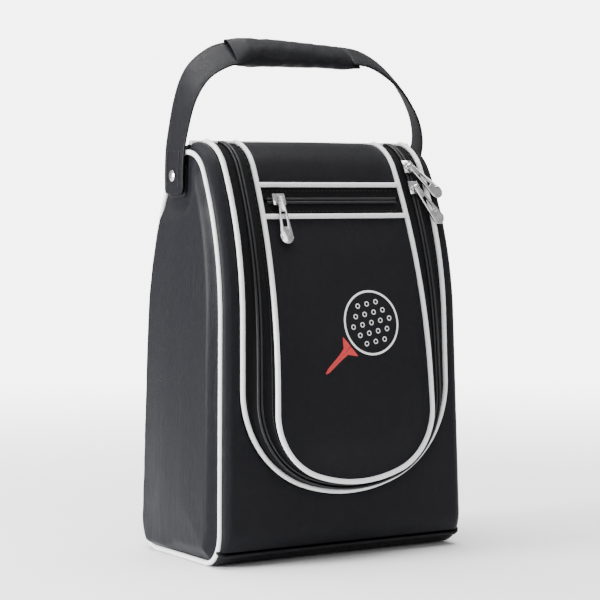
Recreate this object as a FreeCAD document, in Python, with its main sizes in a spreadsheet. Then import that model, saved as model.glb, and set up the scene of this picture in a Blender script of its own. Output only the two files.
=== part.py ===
import FreeCAD, Part
import Sketcher
import math
import os
import re

# Golf shoe bag.  The body is an A-frame box of leathercloth whose side view is the same front and back: a
# rounded foot, a slightly leaning wall, a long shoulder arc and a crown arc.  A U-shaped zip with two
# sliders frees the front flap, which turns up about the crown seam and carries a zipped pocket.  A strap
# handle with a rolled grip is sewn and riveted to the two side panels.
#
# Frame: millimetres, origin on the floor under the middle of the bag, +X to the right as one faces the
# flap, +Y to the back, +Z up.  "Depth" below means the distance forward of the middle plane, so the front
# wall stands at minus its depth.  "Inset" is a distance inwards from an outer surface, along its normal.

DIMENSIONS = [
    ("BodyHeight", 320, "floor to the crown seam"),
    ("BaseHalfWidth", 110, "half the width on the floor"),
    ("TopHalfWidth", 103, "half the width at the crown"),
    ("CrownRadius", 37, "arc over the top in the side view"),
    ("CornerRadius", 28, "arc at the foot in the side view"),
    ("BodyDepth", 63, "half depth where the shoulder arc starts"),
    ("BodyShoulder", 185, "height where the shoulder arc starts"),
    ("BodyLean", 1.46, "lean of the wall below the shoulder, degrees"),
    ("CoilDepth", 69, "line of the main zip: half depth where its shoulder arc starts"),
    ("CoilShoulder", 165, "height where its shoulder arc starts"),
    ("CoilLean", 3.0, "lean below that, degrees"),
    ("FlapDepth", 77.7, "face of the flap: half depth where its shoulder arc starts"),
    ("FlapShoulder", 133, "height where its shoulder arc starts"),
    ("FlapLean", 3.5, "lean below that, degrees"),
    ("Wall", 3, "leathercloth, foam and lining together"),
    ("FlapWall", 2.5, "leathercloth and lining of the flap"),
    ("PocketGap", 6, "room inside the flap pocket"),
    ("LiningWall", 2, "inner wall of the flap pocket"),
    ("PipingRadius", 2, "corded piping"),
    ("PipingInset", 8, "side piping behind the front and back faces"),
    ("SewBite", 0.2, "how far a sewn edge presses into its piping"),
    ("WeltRadius", 1.5, "black welt at the foot"),
    ("BoardThickness", 2.5, "stiffener in the base"),
    ("BoardClearance", 1.0, "round the stiffener"),
    ("OuterTop", 90, "outer U: half width at the crown"),
    ("OuterSide", 93, "outer U: half width lower down"),
    ("OuterBottom", 52, "outer U: height of its lowest point"),
    ("OuterCorner", 78, "outer U: corner arc"),
    ("OuterBow", 120, "outer U: arc along the bottom"),
    ("BandTop", 26, "zip band, outer U to inner U, at the crown"),
    ("BandSide", 22.5, "zip band lower down the legs"),
    ("BandBottom", 9, "zip band at its lowest point"),
    ("BandCorner", 28, "outer corner arc less the inner one"),
    ("InnerBow", 110, "inner U: arc along the bottom"),
    ("TapeThickness", 0.8, "zip tape"),
    ("TeethThickness", 2.2, "coil of the zip, through its thickness"),
    ("TeethProud", 0.8, "coil above the face of the tape"),
    ("TeethWidth", 2.4, "half of the coil, across the zip"),
    ("ZipGap", 1.6, "between the two halves of a coil"),
    ("PostLength", 4, "post between the plates, along the zip"),
    ("SliderLength", 11, "slider, along the zip"),
    ("SliderWidth", 9, "slider, across the zip"),
    ("PlateThickness", 1.2, "each plate of a slider"),
    ("SliderClearance", 0.8, "plate to coil"),
    ("PostThickness", 0.9, "post between the plates"),
    ("PinRadius", 0.75, "pin of a pull"),
    ("PinClearance", 0.08, "pin to the eye of the pull, radial"),
    ("PinHeight", 2.1, "pin above the upper plate"),
    ("EyeRadius", 1.6, "outside of the eye"),
    ("EyeWidth", 3.2, "eye along its pin"),
    ("EyePlay", 0.25, "eye to each lug"),
    ("LugWidth", 0.9, "each lug that holds the pin"),
    ("PullLength", 37, "pin to the tip of a pull"),
    ("PullNeck", 2.4, "half width of a pull beside its eye"),
    ("PullHalfWidth", 5.6, "half width of a pull near its tip"),
    ("PullThickness", 1.6, "pull"),
    ("UpperSliderDrop", 19.5, "crown seam down to the upper main slider"),
    ("LowerSliderDrop", 36, "crown seam down to the lower main slider"),
    ("PullDip", 5, "a resting pull leans towards the bag, degrees"),
    ("PocketDrop", 45, "crown seam down to the line of the pocket zip"),
    ("PocketHalfOpening", 12, "pocket zip line to each of its pipings"),
    ("PocketTeethHalf", 57, "half length of the pocket coil"),
    ("PocketSliderPlace", 50, "pocket slider, to the left of the middle"),
    ("HandleBack", 14, "middle of the strap behind the middle plane"),
    ("StrapWidth", 29, "strap"),
    ("StrapThickness", 3.2, "strap, two layers sewn together"),
    ("StrapClearance", 0.35, "strap to the chape under it"),
    ("ChapeThickness", 1.6, "patch sewn to the side panel under the strap end"),
    ("ChapeAbove", 9, "chape above the rivet"),
    ("ChapeBelow", 17, "chape below the rivet"),
    ("HandleDrop", 26, "crown seam down to the rivet on which the strap end turns"),
    ("StrapStraight", 20, "rivet to the start of the bend of the strap"),
    ("StrapInGrip", 5, "strap end inside the grip"),
    ("GripRise", 69.5, "crown seam up to the middle of the grip"),
    ("GripHalfLength", 56, "grip"),
    ("GripTall", 21, "grip, top to bottom"),
    ("GripDeep", 27, "grip, front to back"),
    ("GripWall", 3, "rolled leathercloth of the grip"),
    ("GripPlay", 0.1, "padding inside the sleeve"),
    ("RivetRadius", 4.2, "rivet head"),
    ("RivetRise", 1.6, "rivet head above the strap"),
    ("RivetShank", 1.6, "rivet shank radius"),
    ("RivetPlay", 0.08, "shank to the hole in the strap, radial"),
]

BEYOND = "2 * BodyHeight"          # long enough to pass through the whole bag
ROUNDING = 10                      # how far a cutting outline passes above the crown

doc = FreeCAD.newDocument("golf_shoe_bag")
dims = doc.addObject("Spreadsheet::Sheet", "dims")
nodes = []


def fill_sheet():
    """Driving sizes as plain numbers, then the values worked out from them."""
    derived = [
        ("CrownHeight", "BodyHeight - CrownRadius"),
        ("InnerTop", "OuterTop - BandTop"),
        ("InnerSide", "OuterSide - BandSide"),
        ("InnerBottom", "OuterBottom + BandBottom"),
        ("InnerCorner", "OuterCorner - BandCorner"),
        ("UpperSliderHeight", "BodyHeight - UpperSliderDrop"),
        ("LowerSliderHeight", "BodyHeight - LowerSliderDrop"),
        ("PocketHeight", "BodyHeight - PocketDrop"),
        ("HandlePivot", "BodyHeight - HandleDrop"),
        ("StrapRise", "HandlePivot + StrapStraight"),
        ("GripHeight", "BodyHeight + GripRise"),
        ("SideTilt", "atan((BaseHalfWidth - TopHalfWidth) / BodyHeight) / 1 deg"),
        ("PanelEdge", "PipingRadius - SewBite"),
        ("FlapThickness", "FlapWall + PocketGap + LiningWall"),
        ("TopPlate", "TeethProud + SliderClearance"),
        ("LowerPlate", "TeethProud - 1.13 * TeethThickness - SliderClearance - PlateThickness"),
        ("StrapOut", "BaseHalfWidth + (TopHalfWidth - BaseHalfWidth) * (HandlePivot - StrapWidth / 2)"
                     " / BodyHeight + ChapeThickness + StrapClearance + StrapThickness / 2"),
        ("StrapEnd", "GripHalfLength - StrapInGrip"),
        ("StrapBend", "((StrapOut - StrapEnd)^2 + (GripHeight - StrapRise)^2) / (2 * (StrapOut - StrapEnd))"),
    ]
    for line in ("Body", "Coil", "Flap"):
        depth, shoulder, lean = f"{line}Depth", f"{line}Shoulder", f"{line}Lean"
        rise = f"(CrownHeight - {shoulder})"
        derived += [
            (f"{line}Cos", f"cos({lean})"),
            (f"{line}Sin", f"sin({lean})"),
            (f"{line}Radius", f"({depth}^2 + {rise}^2 - CrownRadius^2)"
                              f" / (2 * ({depth} * {line}Cos - {rise} * {line}Sin - CrownRadius))"),
            (f"{line}Behind", f"{line}Radius * {line}Cos - {depth}"),
            (f"{line}Centre", f"{shoulder} - {line}Radius * {line}Sin"),
            (f"{line}JoinCos", f"{line}Behind / ({line}Radius - CrownRadius)"),
            (f"{line}JoinSin", f"(CrownHeight - {line}Centre) / ({line}Radius - CrownRadius)"),
        ]
    derived.append(("FootDepth", "BodyDepth + (BodyShoulder - CornerRadius * (1 + BodySin)) * BodySin / BodyCos"
                                 " - CornerRadius * BodyCos"))
    for curve in ("Top", "Side", "Bottom", "Corner", "Bow"):
        derived.append((f"Middle{curve}", f"(Outer{curve} + Inner{curve}) / 2"))
    for curve in ("Outer", "Middle", "Inner"):
        derived += [
            (f"{curve}Turn", f"{curve}Bottom + {curve}Bow"
                             f" - sqrt(({curve}Bow - {curve}Corner)^2 - ({curve}Side - {curve}Corner)^2)"),
            (f"{curve}JoinCos", f"({curve}Side - {curve}Corner) / ({curve}Bow - {curve}Corner)"),
            (f"{curve}JoinSin", f"({curve}Bottom + {curve}Bow - {curve}Turn) / ({curve}Bow - {curve}Corner)"),
        ]
    row = 1
    for alias, size, note in DIMENSIONS:
        dims.set(f"A{row}", note)
        dims.set(f"B{row}", str(size))
        dims.setAlias(f"B{row}", alias)
        row += 1
    for alias, formula in derived:
        dims.set(f"B{row}", "=" + formula)
        dims.setAlias(f"B{row}", alias)
        row += 1
    doc.recompute()


def bound(formula):
    """A formula on the sheet's aliases, which all start with a capital, as another object refers to them."""
    return re.sub(r"\b([A-Z]\w+)", r"dims.\1", str(formula))


def number(formula):
    """The value of such a formula."""
    return float(dims.evalExpression(bound(formula)))


def bind(thing, **sizes):
    """Ties properties of an object to formulas; a double underscore stands for a dot."""
    for prop, formula in sizes.items():
        thing.setExpression(prop.replace("__", "."), bound(formula))
    return thing


def keep(thing, label):
    """Names a finished piece, which is later written under that name."""
    thing.Label = label
    nodes.append(thing)
    return thing


# ---------------------------------------------------------------- outlines

PLANES = {
    "side": FreeCAD.Rotation(FreeCAD.Vector(0, 1, 0), FreeCAD.Vector(0, 0, 1), FreeCAD.Vector(1, 0, 0)),
    "front": FreeCAD.Rotation(FreeCAD.Vector(1, 0, 0), FreeCAD.Vector(0, 0, 1), FreeCAD.Vector(0, -1, 0)),
    "floor": FreeCAD.Rotation(),
}


def arc_centre(start, end, radius):
    """Centre of the short arc between two points, left of the way from one to the other if radius > 0."""
    way = end - start
    half = way.Length / 2
    aside = FreeCAD.Vector(-way.y, way.x, 0).normalize()
    off = math.sqrt(radius * radius - half * half)
    return start + way * 0.5 + aside * math.copysign(off, radius)


def outline(name, plane, corners, closed=True):
    """A sketch through corners of (across, up, radius): formulas, the radius being that of the arc which
    leaves the corner, 0 for a straight side.  Every corner and radius is bound to its formula."""
    sketch = doc.addObject("Sketcher::SketchObject", name)
    sketch.Placement = FreeCAD.Placement(FreeCAD.Vector(), PLANES[plane])
    points = [FreeCAD.Vector(number(across), number(up), 0) for across, up, _ in corners]
    starts, ends = [], []
    count = len(corners) if closed else len(corners) - 1
    for here in range(count):
        start, end = points[here], points[(here + 1) % len(points)]
        radius = number(corners[here][2])
        if radius == 0:
            sketch.addGeometry(Part.LineSegment(start, end))
            first, last = 1, 2
        else:
            centre = arc_centre(start, end, radius)
            first, last = (1, 2) if radius > 0 else (2, 1)
            low, high = (start, end) if radius > 0 else (end, start)
            turn = [math.atan2(point.y - centre.y, point.x - centre.x) for point in (low, high)]
            circle = Part.Circle(centre, FreeCAD.Vector(0, 0, 1), abs(radius))
            sketch.addGeometry(Part.ArcOfCircle(circle, turn[0], turn[1]))
        starts.append((here, first))
        ends.append((here, last))
    rules = []
    for here in range(count):
        if closed or here + 1 < count:
            rules.append((("Coincident", *ends[here], *starts[(here + 1) % count]), None))
        if number(corners[here][2]) != 0:
            rules.append((("Radius", here, abs(number(corners[here][2]))), f"abs({corners[here][2]})"))
    places = starts if closed else starts + [ends[-1]]
    for spot, (across, up, _) in zip(places, corners):
        rules.append((("DistanceX", -1, 1, *spot, number(across)), across))
        rules.append((("DistanceY", -1, 1, *spot, number(up)), up))
    for rule, formula in rules:
        index = sketch.addConstraint(Sketcher.Constraint(*rule))
        if formula is not None:
            sketch.setExpression(f"Constraints[{index}]", bound(formula))
    return sketch


def prism(name, sketch, length, both_ways=True, back=False):
    """A sketch drawn out along its normal: half each way, or one way only."""
    solid = doc.addObject("Part::Extrusion", name)
    solid.Base = sketch
    solid.DirMode = "Normal"
    solid.Solid = True
    solid.Symmetric = both_ways
    solid.Reversed = back
    return bind(solid, LengthFwd=length)


def both(name, first, second):
    common = doc.addObject("Part::MultiCommon", name)
    common.Shapes = [first, second]
    return common


def less(name, first, second):
    cut = doc.addObject("Part::Cut", name)
    cut.Base = first
    cut.Tool = second
    return cut


def joined(name, *solids):
    fuse = doc.addObject("Part::MultiFuse", name)
    fuse.Shapes = list(solids)
    return fuse


# ---------------------------------------------------------------- the side view


def on_wall(line, inset, side, height):
    """Point of the leaning wall at a height."""
    return (f"{side} * ({line}Depth + ({line}Shoulder - ({height})) * {line}Sin / {line}Cos"
            f" - ({inset}) / {line}Cos)", f"{height}")


def on_shoulder(line, inset, side, height):
    """Point of the shoulder arc, or of a layer right below it, at a height measured on the surface."""
    rise = f"(({height} - {line}Centre) / {line}Radius)"
    return (f"{side} * (({line}Radius - ({inset})) * sqrt(1 - {rise}^2) - {line}Behind)",
            f"{line}Centre + ({line}Radius - ({inset})) * {rise}")


def shoulder(line, inset, side):
    """Where the wall runs into the shoulder arc."""
    return (f"{side} * (({line}Radius - ({inset})) * {line}Cos - {line}Behind)",
            f"{line}Centre + ({line}Radius - ({inset})) * {line}Sin")


def join(line, inset, side):
    """Where the shoulder arc runs into the crown arc."""
    return (f"{side} * (CrownRadius - ({inset})) * {line}JoinCos",
            f"CrownHeight + (CrownRadius - ({inset})) * {line}JoinSin")


def on_crown(inset, side, depth):
    """Point of the crown arc at a depth."""
    return (f"{side} * ({depth})", f"CrownHeight + sqrt((CrownRadius - ({inset}))^2 - ({depth})^2)")


def climb(line, inset, side, low, high):
    """Corners up one side, from ("wall" | "shoulder", height) to ("shoulder", height) or ("crown", depth)."""
    arc = f"{side} * ({line}Radius - ({inset}))"
    points = []
    if low[0] == "wall":
        points.append((*on_wall(line, inset, side, low[1]), "0"))
        points.append((*shoulder(line, inset, side), arc))
    else:
        points.append((*on_shoulder(line, inset, side, low[1]), arc))
    if high[0] == "crown":
        points.append((*join(line, inset, side), f"{side} * (CrownRadius - ({inset}))"))
        points.append((*on_crown(inset, side, high[1]), "0"))
    else:
        points.append((*on_shoulder(line, inset, side, high[1]), "0"))
    return points


def there_and_back(out, back):
    """A band: one line, then the other in reverse, its arcs turning the other way."""
    backwards = []
    for here in range(len(back) - 1, -1, -1):
        radius = back[here - 1][2] if here else "0"
        backwards.append((back[here][0], back[here][1], "0" if radius == "0" else f"-({radius})"))
    return out + backwards


def band(name, line, side, low, high, outer, inner):
    """A layer of the front (side -1) or the back (side 1), between two insets, right across the bag."""
    corners = there_and_back(climb(line, outer, side, low, high), climb(line, inner, side, low, high))
    return prism(name, outline(name + "_section", "side", corners), BEYOND)


def side_loop(inset, bottom):
    """The whole side view, moved in by an inset and with its foot at a height."""
    radius = f"(CornerRadius - {inset})"
    turn = f"({bottom} + {radius} * (1 + BodySin))"
    middle = (f"(BodyDepth + (BodyShoulder - {turn}) * BodySin / BodyCos"
              f" - {inset} / BodyCos - {radius} * BodyCos)")
    arc, crown = f"(BodyRadius - {inset})", f"(CrownRadius - {inset})"
    return [
        (f"-{middle}", bottom, "0"),
        (middle, bottom, radius),
        (*on_wall("Body", inset, 1, turn), "0"),
        (*shoulder("Body", inset, 1), arc),
        (*join("Body", inset, 1), crown),
        (*join("Body", inset, -1), arc),
        (*shoulder("Body", inset, -1), "0"),
        (*on_wall("Body", inset, -1, turn), radius),
    ]


# ---------------------------------------------------------------- the front view

def body_width(name, inset):
    """Everything within the tapering sides, drawn through the bag from front to back."""
    top = f"(BodyHeight + {ROUNDING})"
    wide = f"(BaseHalfWidth - {inset})"
    narrow = f"(BaseHalfWidth - (BaseHalfWidth - TopHalfWidth) * {top} / BodyHeight - {inset})"
    corners = [(f"-{wide}", "0", "0"), (wide, "0", "0"), (narrow, top, "0"), (f"-{narrow}", top, "0")]
    return prism(name, outline(name + "_outline", "front", corners), BEYOND)


def u_shape(name, curve, grow):
    """Everything within one of the U curves, moved out by grow."""
    top = f"BodyHeight + {ROUNDING}"
    bow = f"({curve}Bow + {grow})"
    corner = f"({curve}Corner + {grow})"
    foot_across = f"{bow} * {curve}JoinCos"
    foot_up = f"{curve}Bottom + {curve}Bow - {bow} * {curve}JoinSin"
    corners = [
        (f"-({curve}Top + {grow})", top, "0"),
        (f"-({curve}Side + {grow})", f"{curve}Turn", corner),
        (f"-{foot_across}", foot_up, bow),
        (foot_across, foot_up, corner),
        (f"{curve}Side + {grow}", f"{curve}Turn", "0"),
        (f"{curve}Top + {grow}", top, "0"),
    ]
    return prism(name, outline(name + "_outline", "front", corners), BEYOND)


def u_bead(label, curve, line, low):
    """Piping along a U curve, half above and half below the surface of its panel, from the crown seam with
    room for the flap to turn up."""
    layer = band(label + "_layer", line, -1, low, ("crown", "PipingRadius * 2.5"),
                 "-PipingRadius", "PipingRadius")
    ring = less(label + "_ring", u_shape(label + "_out", curve, "PipingRadius"),
                u_shape(label + "_in", curve, "-PipingRadius"))
    return keep(both(label, layer, ring), label)


# ---------------------------------------------------------------- the shell

def wrap_panel(label, side, opening=None):
    """Front or back: a wall with a lip turned round each side edge, from the foot welt to the crown seam."""
    low = ("wall", "CornerRadius + WeltRadius - SewBite")
    high = ("crown", "PanelEdge")
    lip = "PipingInset - PanelEdge"
    thick = band(label + "_thick", "Body", side, low, high, "0", lip)
    inside = band(label + "_room", "Body", side, ("wall", "CornerRadius - Wall"), ("crown", "0.01"),
                  "Wall", f"{lip} + Wall")
    room = both(label + "_inside", inside, body_width(label + "_inner_width", "Wall"))
    panel = less(label + "_shell", both(label + "_outside", thick, body_width(label + "_width", "0")), room)
    if opening is not None:
        panel = less(label + "_opened", panel, opening)
    return keep(panel, label)


def bottom_panel():
    """Base of the bag, carried up the foot arcs to the two welts."""
    ring = []
    for inset in ("0", "Wall"):
        radius = f"(CornerRadius - {inset})"
        end = f"(FootDepth + {radius} * BodyCos)"
        height = "CornerRadius - WeltRadius + SewBite"
        rim = f"(FootDepth + sqrt({radius}^2 - (WeltRadius - SewBite)^2))"
        ring.append([(f"-{rim}", height, radius), ("-FootDepth", inset, "0"),
                     ("FootDepth", inset, radius), (rim, height, "0")])
    corners = there_and_back(ring[0], ring[1])
    sheet = prism("bottom_sheet", outline("bottom_section", "side", corners), BEYOND)
    keep(both("bottom_panel", sheet, body_width("bottom_width", "Wall + PipingRadius / 2")), "bottom_panel")
    board = doc.addObject("Part::Box", "base_board")
    wide = "(BaseHalfWidth - 2 * Wall - BoardClearance)"
    bind(board, Length=f"2 * {wide}", Width="2 * FootDepth", Height="BoardThickness",
         Placement__Base__x=f"-{wide}", Placement__Base__y="-FootDepth", Placement__Base__z="Wall")
    keep(board, "base_board")


def rod(name, label, radius, half_length, depth, height):
    """A round cord straight across the bag."""
    cord = doc.addObject("Part::Cylinder", name)
    cord.Placement = FreeCAD.Placement(FreeCAD.Vector(), FreeCAD.Rotation(FreeCAD.Vector(0, 1, 0), 90))
    bind(cord, Radius=radius, Height=f"2 * ({half_length})", Placement__Base__x=f"-({half_length})",
         Placement__Base__y=depth, Placement__Base__z=height)
    return keep(cord, label)


def tilt(piece, side, across="0"):
    """Leans a piece built upright in the middle plane against the left or the right side of the bag."""
    piece.Placement = FreeCAD.Placement(FreeCAD.Vector(), FreeCAD.Rotation(FreeCAD.Vector(0, -side, 0), 1))
    return bind(piece, Placement__Base__x=f"{side} * (BaseHalfWidth + ({across}))",
                Placement__Rotation__Angle="SideTilt")


def side_pieces(side, name):
    """Side panel, its loop of piping, the sewn tab of the handle and the rivet through it."""
    edge = "(PipingInset + PanelEdge)"
    plate = prism(f"side_{name}", outline(f"side_{name}_outline", "side",
                  side_loop(edge, "2 * PipingRadius")), "Wall", both_ways=False, back=side > 0)
    keep(tilt(plate, side), f"side_panel_{name}")

    loop = side_loop("PipingInset", "PipingRadius + SewBite")
    path = outline(f"piping_{name}_path", "side", loop)
    section = doc.addObject("Part::Circle", f"piping_{name}_section")
    section.Placement = FreeCAD.Placement(FreeCAD.Vector(), FreeCAD.Rotation(FreeCAD.Vector(1, 0, 0), -90))
    bind(section, Radius="PipingRadius", Placement__Base__y=loop[0][0], Placement__Base__z=loop[0][1])
    sweep = doc.addObject("Part::Sweep", f"piping_{name}")
    sweep.Sections = [section]
    sweep.Spine = (path, [f"Edge{n + 1}" for n in range(len(path.Geometry))])
    sweep.Solid = True
    sweep.Frenet = False
    keep(tilt(sweep, side, "-PipingRadius / 4"), f"side_piping_{name}")

    drop = "(BaseHalfWidth - TopHalfWidth) / BodyHeight"
    chape = doc.addObject("Part::Box", f"chape_{name}")
    bind(chape, Length="ChapeThickness", Width="StrapWidth", Height="ChapeAbove + ChapeBelow")
    chape.Placement = FreeCAD.Placement(FreeCAD.Vector(), FreeCAD.Rotation(FreeCAD.Vector(0, -side, 0), 1))
    low = "(HandlePivot - ChapeBelow)"
    start = "0" if side > 0 else "-ChapeThickness"
    bind(chape, Placement__Base__x=f"{side} * (BaseHalfWidth - {low} * {drop}) + {start}",
         Placement__Base__y="HandleBack - StrapWidth / 2", Placement__Base__z=low,
         Placement__Rotation__Angle="SideTilt")
    keep(chape, f"handle_chape_{name}")

    outside = "(StrapOut + StrapThickness / 2 + StrapClearance)"
    inside = f"(BaseHalfWidth - HandlePivot * {drop} - Wall)"
    profile = [("0", f"{inside} - RivetRise", "0"), ("RivetRadius", f"{inside} - RivetRise", "0"),
               ("RivetRadius", inside, "0"), ("RivetShank", inside, "0"), ("RivetShank", outside, "0"),
               ("RivetRadius", outside, "0"), ("RivetRadius / 2", f"{outside} + RivetRise", "0"),
               ("0", f"{outside} + RivetRise", "0")]
    rivet = doc.addObject("Part::Revolution", f"turned_rivet_{name}")
    rivet.Source = outline(f"rivet_{name}_section", "floor", profile)
    rivet.Axis = FreeCAD.Vector(0, 1, 0)
    rivet.Angle = 360
    rivet.Solid = True
    rivet.Placement = FreeCAD.Placement(FreeCAD.Vector(), FreeCAD.Rotation(FreeCAD.Vector(0, 0, 1), -90 * side))
    bind(rivet, Placement__Base__y="HandleBack", Placement__Base__z="HandlePivot")
    keep(rivet, f"rivet_{name}")


# ---------------------------------------------------------------- the main zip

def down_the_side(line, share, height, proud):
    """Depth and height at a share of the way from the crown seam down to a height on the wall, measured
    along the side view of a line, raised by proud above it."""
    crown, arc = number("CrownRadius"), number(f"{line}Radius")
    first = math.asin(number("PipingRadius + TeethThickness") / crown)
    second = math.asin(number(f"{line}JoinCos"))
    third = math.pi / 2 - math.radians(number(f"{line}Lean"))
    lengths = [crown * (second - first), arc * (third - second),
               (number(f"{line}Shoulder") - height) / number(f"{line}Cos")]
    way = share * sum(lengths)
    if way <= lengths[0]:
        turn = first + way / crown
        return (crown + proud) * math.sin(turn), number("CrownHeight") + (crown + proud) * math.cos(turn)
    way -= lengths[0]
    turn = second + min(way, lengths[1]) / arc
    depth = (arc + proud) * math.sin(turn) - number(f"{line}Behind")
    level = number(f"{line}Centre") + (arc + proud) * math.cos(turn)
    way -= min(way, lengths[1])
    return depth + way * number(f"{line}Sin"), level - way * number(f"{line}Cos")


def u_points(curve, line, proud):
    """Points of a U curve on a surface: down the right leg, round the corner, to the middle of the bow."""
    top, side, turn = number(f"{curve}Top"), number(f"{curve}Side"), number(f"{curve}Turn")
    corner, bow = number(f"{curve}Corner"), number(f"{curve}Bow")
    height = number("BodyHeight")
    points = []
    for step in range(LEG_STEPS):
        depth, level = down_the_side(line, step / LEG_STEPS, turn, proud)
        across = side - (side - top) * (min(level, height) - turn) / (height - turn)
        points.append(FreeCAD.Vector(across, -depth, level))
    flat = []
    widest = math.atan2(number(f"{curve}JoinSin"), number(f"{curve}JoinCos"))
    for step in range(CORNER_STEPS):
        angle = widest * step / CORNER_STEPS
        flat.append((side - corner + corner * math.cos(angle), turn - corner * math.sin(angle)))
    for step in range(BOW_STEPS + 1):
        angle = widest + (math.pi / 2 - widest) * step / BOW_STEPS
        flat.append((bow * math.cos(angle), number(f"{curve}Bottom") + bow - bow * math.sin(angle)))
    for across, level in flat:
        depth = number(on_wall(line, "0", 1, level)[0]) + proud
        points.append(FreeCAD.Vector(across, -depth, level))
    return points


def zip_layer(label, curve, line, near, far, thickness, proud):
    """Half of the zip: a strip from near to far away from the middle curve towards a U curve (far None: all
    the way), thickened inwards.  It leans as the flap stands proud, so it is a loft through cross-sections
    set square to its own run."""
    middle = u_points("Middle", "Coil", proud)
    edge = u_points(curve, line, proud)
    deep = number(thickness)
    sections = []
    for here, (inner, outer) in enumerate(zip(middle, edge)):
        run = middle[min(here + 1, len(middle) - 1)] - middle[max(here - 1, 0)]
        if here == len(middle) - 1:
            run = FreeCAD.Vector(-1, 0, 0)
        aside = outer - inner
        span = aside.Length
        aside.normalize()
        inwards = run.cross(aside).normalize() * (deep if curve == "Inner" else -deep)
        end = span if far is None else number(far)
        top = [inner + aside * number(near), inner + aside * end]
        sections.append(top + [top[1] + inwards, top[0] + inwards])
    for corners in reversed(sections[:-1]):
        sections.append([FreeCAD.Vector(-point.x, point.y, point.z) for point in corners])
    layer = doc.addObject("Part::Feature", label + "_layer")
    outlines = [Part.makePolygon(corners + corners[:1]) for corners in sections]
    layer.Shape = Part.makeLoft(outlines, True, False)
    return keep(layer, label)


# ---------------------------------------------------------------- the flap

def flap_panel(label, low, high, deep):
    """A leathercloth panel of the flap within the inner U, its edge turned in by deep where that is given."""
    face = band(label + "_face", "Flap", -1, low, high, "0", deep or "FlapWall")
    panel = both(label + "_panel", face, u_shape(label + "_edge", "Inner", "-PanelEdge"))
    if deep:
        room = band(label + "_room", "Flap", -1, ("wall", "InnerBottom - Wall"), high, "FlapWall", f"{deep} + Wall")
        hollow = both(label + "_hollow", room, u_shape(label + "_inner_edge", "Inner", "-PanelEdge - FlapWall"))
        panel = less(label + "_shell", panel, hollow)
    return keep(panel, label)


def pocket_layer(label, low, high, outer, inner, half_length):
    """A strip of the pocket zip, along X on the face of the flap."""
    layer = band(label + "_layer", "Flap", -1, ("shoulder", low), ("shoulder", high), outer, inner)
    ends = doc.addObject("Part::Box", label + "_ends")
    bind(ends, Length=f"2 * ({half_length})", Width=BEYOND, Height=BEYOND,
         Placement__Base__x=f"-({half_length})", Placement__Base__y="-BodyHeight")
    return keep(both(label + "_strip", layer, ends), label)


# ---------------------------------------------------------------- sliders and pulls

def block(name, length, width, height, along="0", across="0", up="0"):
    """A box centred on X and Y that starts at a height."""
    solid = doc.addObject("Part::Box", name)
    return bind(solid, Length=length, Width=width, Height=height,
                Placement__Base__x=f"{along} - ({length}) / 2", Placement__Base__y=f"{across} - ({width}) / 2",
                Placement__Base__z=up)


def cross_pin(name, radius, length, up="0"):
    """A cylinder along Y, centred."""
    solid = doc.addObject("Part::Cylinder", name)
    solid.Placement = FreeCAD.Placement(FreeCAD.Vector(), FreeCAD.Rotation(FreeCAD.Vector(1, 0, 0), -90))
    return bind(solid, Radius=radius, Height=length, Placement__Base__y=f"-({length}) / 2",
                Placement__Base__z=up)


def slider(name, place, yaw, whole):
    """Two plates joined by a thin post in the gap of the coil, and lugs with the pin of the pull.  On the
    main zip only the half beside the flap has a lower plate, so that it leaves with the flap."""
    upper = block(name + "_upper_plate", "SliderLength", "SliderWidth", "PlateThickness", up="TopPlate")
    width = "SliderWidth" if whole else "(SliderWidth + PostThickness) / 2"
    aside = "0" if whole else "(SliderWidth - PostThickness) / 4"
    lower = block(name + "_lower_plate", "SliderLength", width, "PlateThickness", across=aside, up="LowerPlate")
    post = block(name + "_post", "PostLength", "PostThickness", "TopPlate - LowerPlate", up="LowerPlate")
    base = "TopPlate + PlateThickness"
    gap = "(EyeWidth / 2 + EyePlay + LugWidth / 2)"
    lugs = [block(f"{name}_lug_{n}", "2 * PinRadius + LugWidth", "LugWidth", "PinHeight + 2 * PinRadius",
                  across=f"{way} * {gap}", up=base) for n, way in enumerate((-1, 1))]
    pin = cross_pin(name + "_pin", "PinRadius", f"2 * {gap}", up=f"{base} + PinHeight")
    bow = joined(name + "_bow", *lugs, pin)
    bow.Placement = FreeCAD.Placement(FreeCAD.Vector(), FreeCAD.Rotation(FreeCAD.Vector(0, 0, 1), yaw))
    body = joined(name + "_body", upper, lower, post, bow)
    body.Placement = place
    keep(body, name + "_slider")

    eye = cross_pin(name + "_eye", "EyeRadius", "EyeWidth")
    neck = "(PinRadius + LugWidth + EyePlay)"
    tag = prism(name + "_tag", outline(name + "_tag_outline", "floor", [
        ("0", "-EyeWidth / 2", "0"), (neck, "-EyeWidth / 2", "0"), (neck, "-PullNeck", "0"),
        ("PullLength - PullHalfWidth", "-PullHalfWidth", "PullHalfWidth * 1.02"),
        ("PullLength - PullHalfWidth", "PullHalfWidth", "0"),
        (neck, "PullNeck", "0"), (neck, "EyeWidth / 2", "0"), ("0", "EyeWidth / 2", "0")]), "PullThickness")
    bore = cross_pin(name + "_bore", "PinRadius + PinClearance", "2 * EyeWidth")
    window = block(name + "_window", "PullLength / 3", "PullNeck * 1.6", "2 * PullThickness",
                   along="PullLength * 0.45", up="-PullThickness")
    pull = less(name + "_tag_bored", joined(name + "_tag_eye", eye, tag), joined(name + "_cuts", bore, window))
    lift = FreeCAD.Placement(FreeCAD.Vector(0, 0, number(f"{base} + PinHeight")), FreeCAD.Rotation())
    turn = FreeCAD.Placement(FreeCAD.Vector(), FreeCAD.Rotation(FreeCAD.Vector(0, 0, 1), yaw))
    dip = FreeCAD.Placement(FreeCAD.Vector(), FreeCAD.Rotation(FreeCAD.Vector(0, 1, 0), number("PullDip")))
    pull.Placement = place * lift * turn * dip
    keep(pull, name + "_pull")


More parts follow.
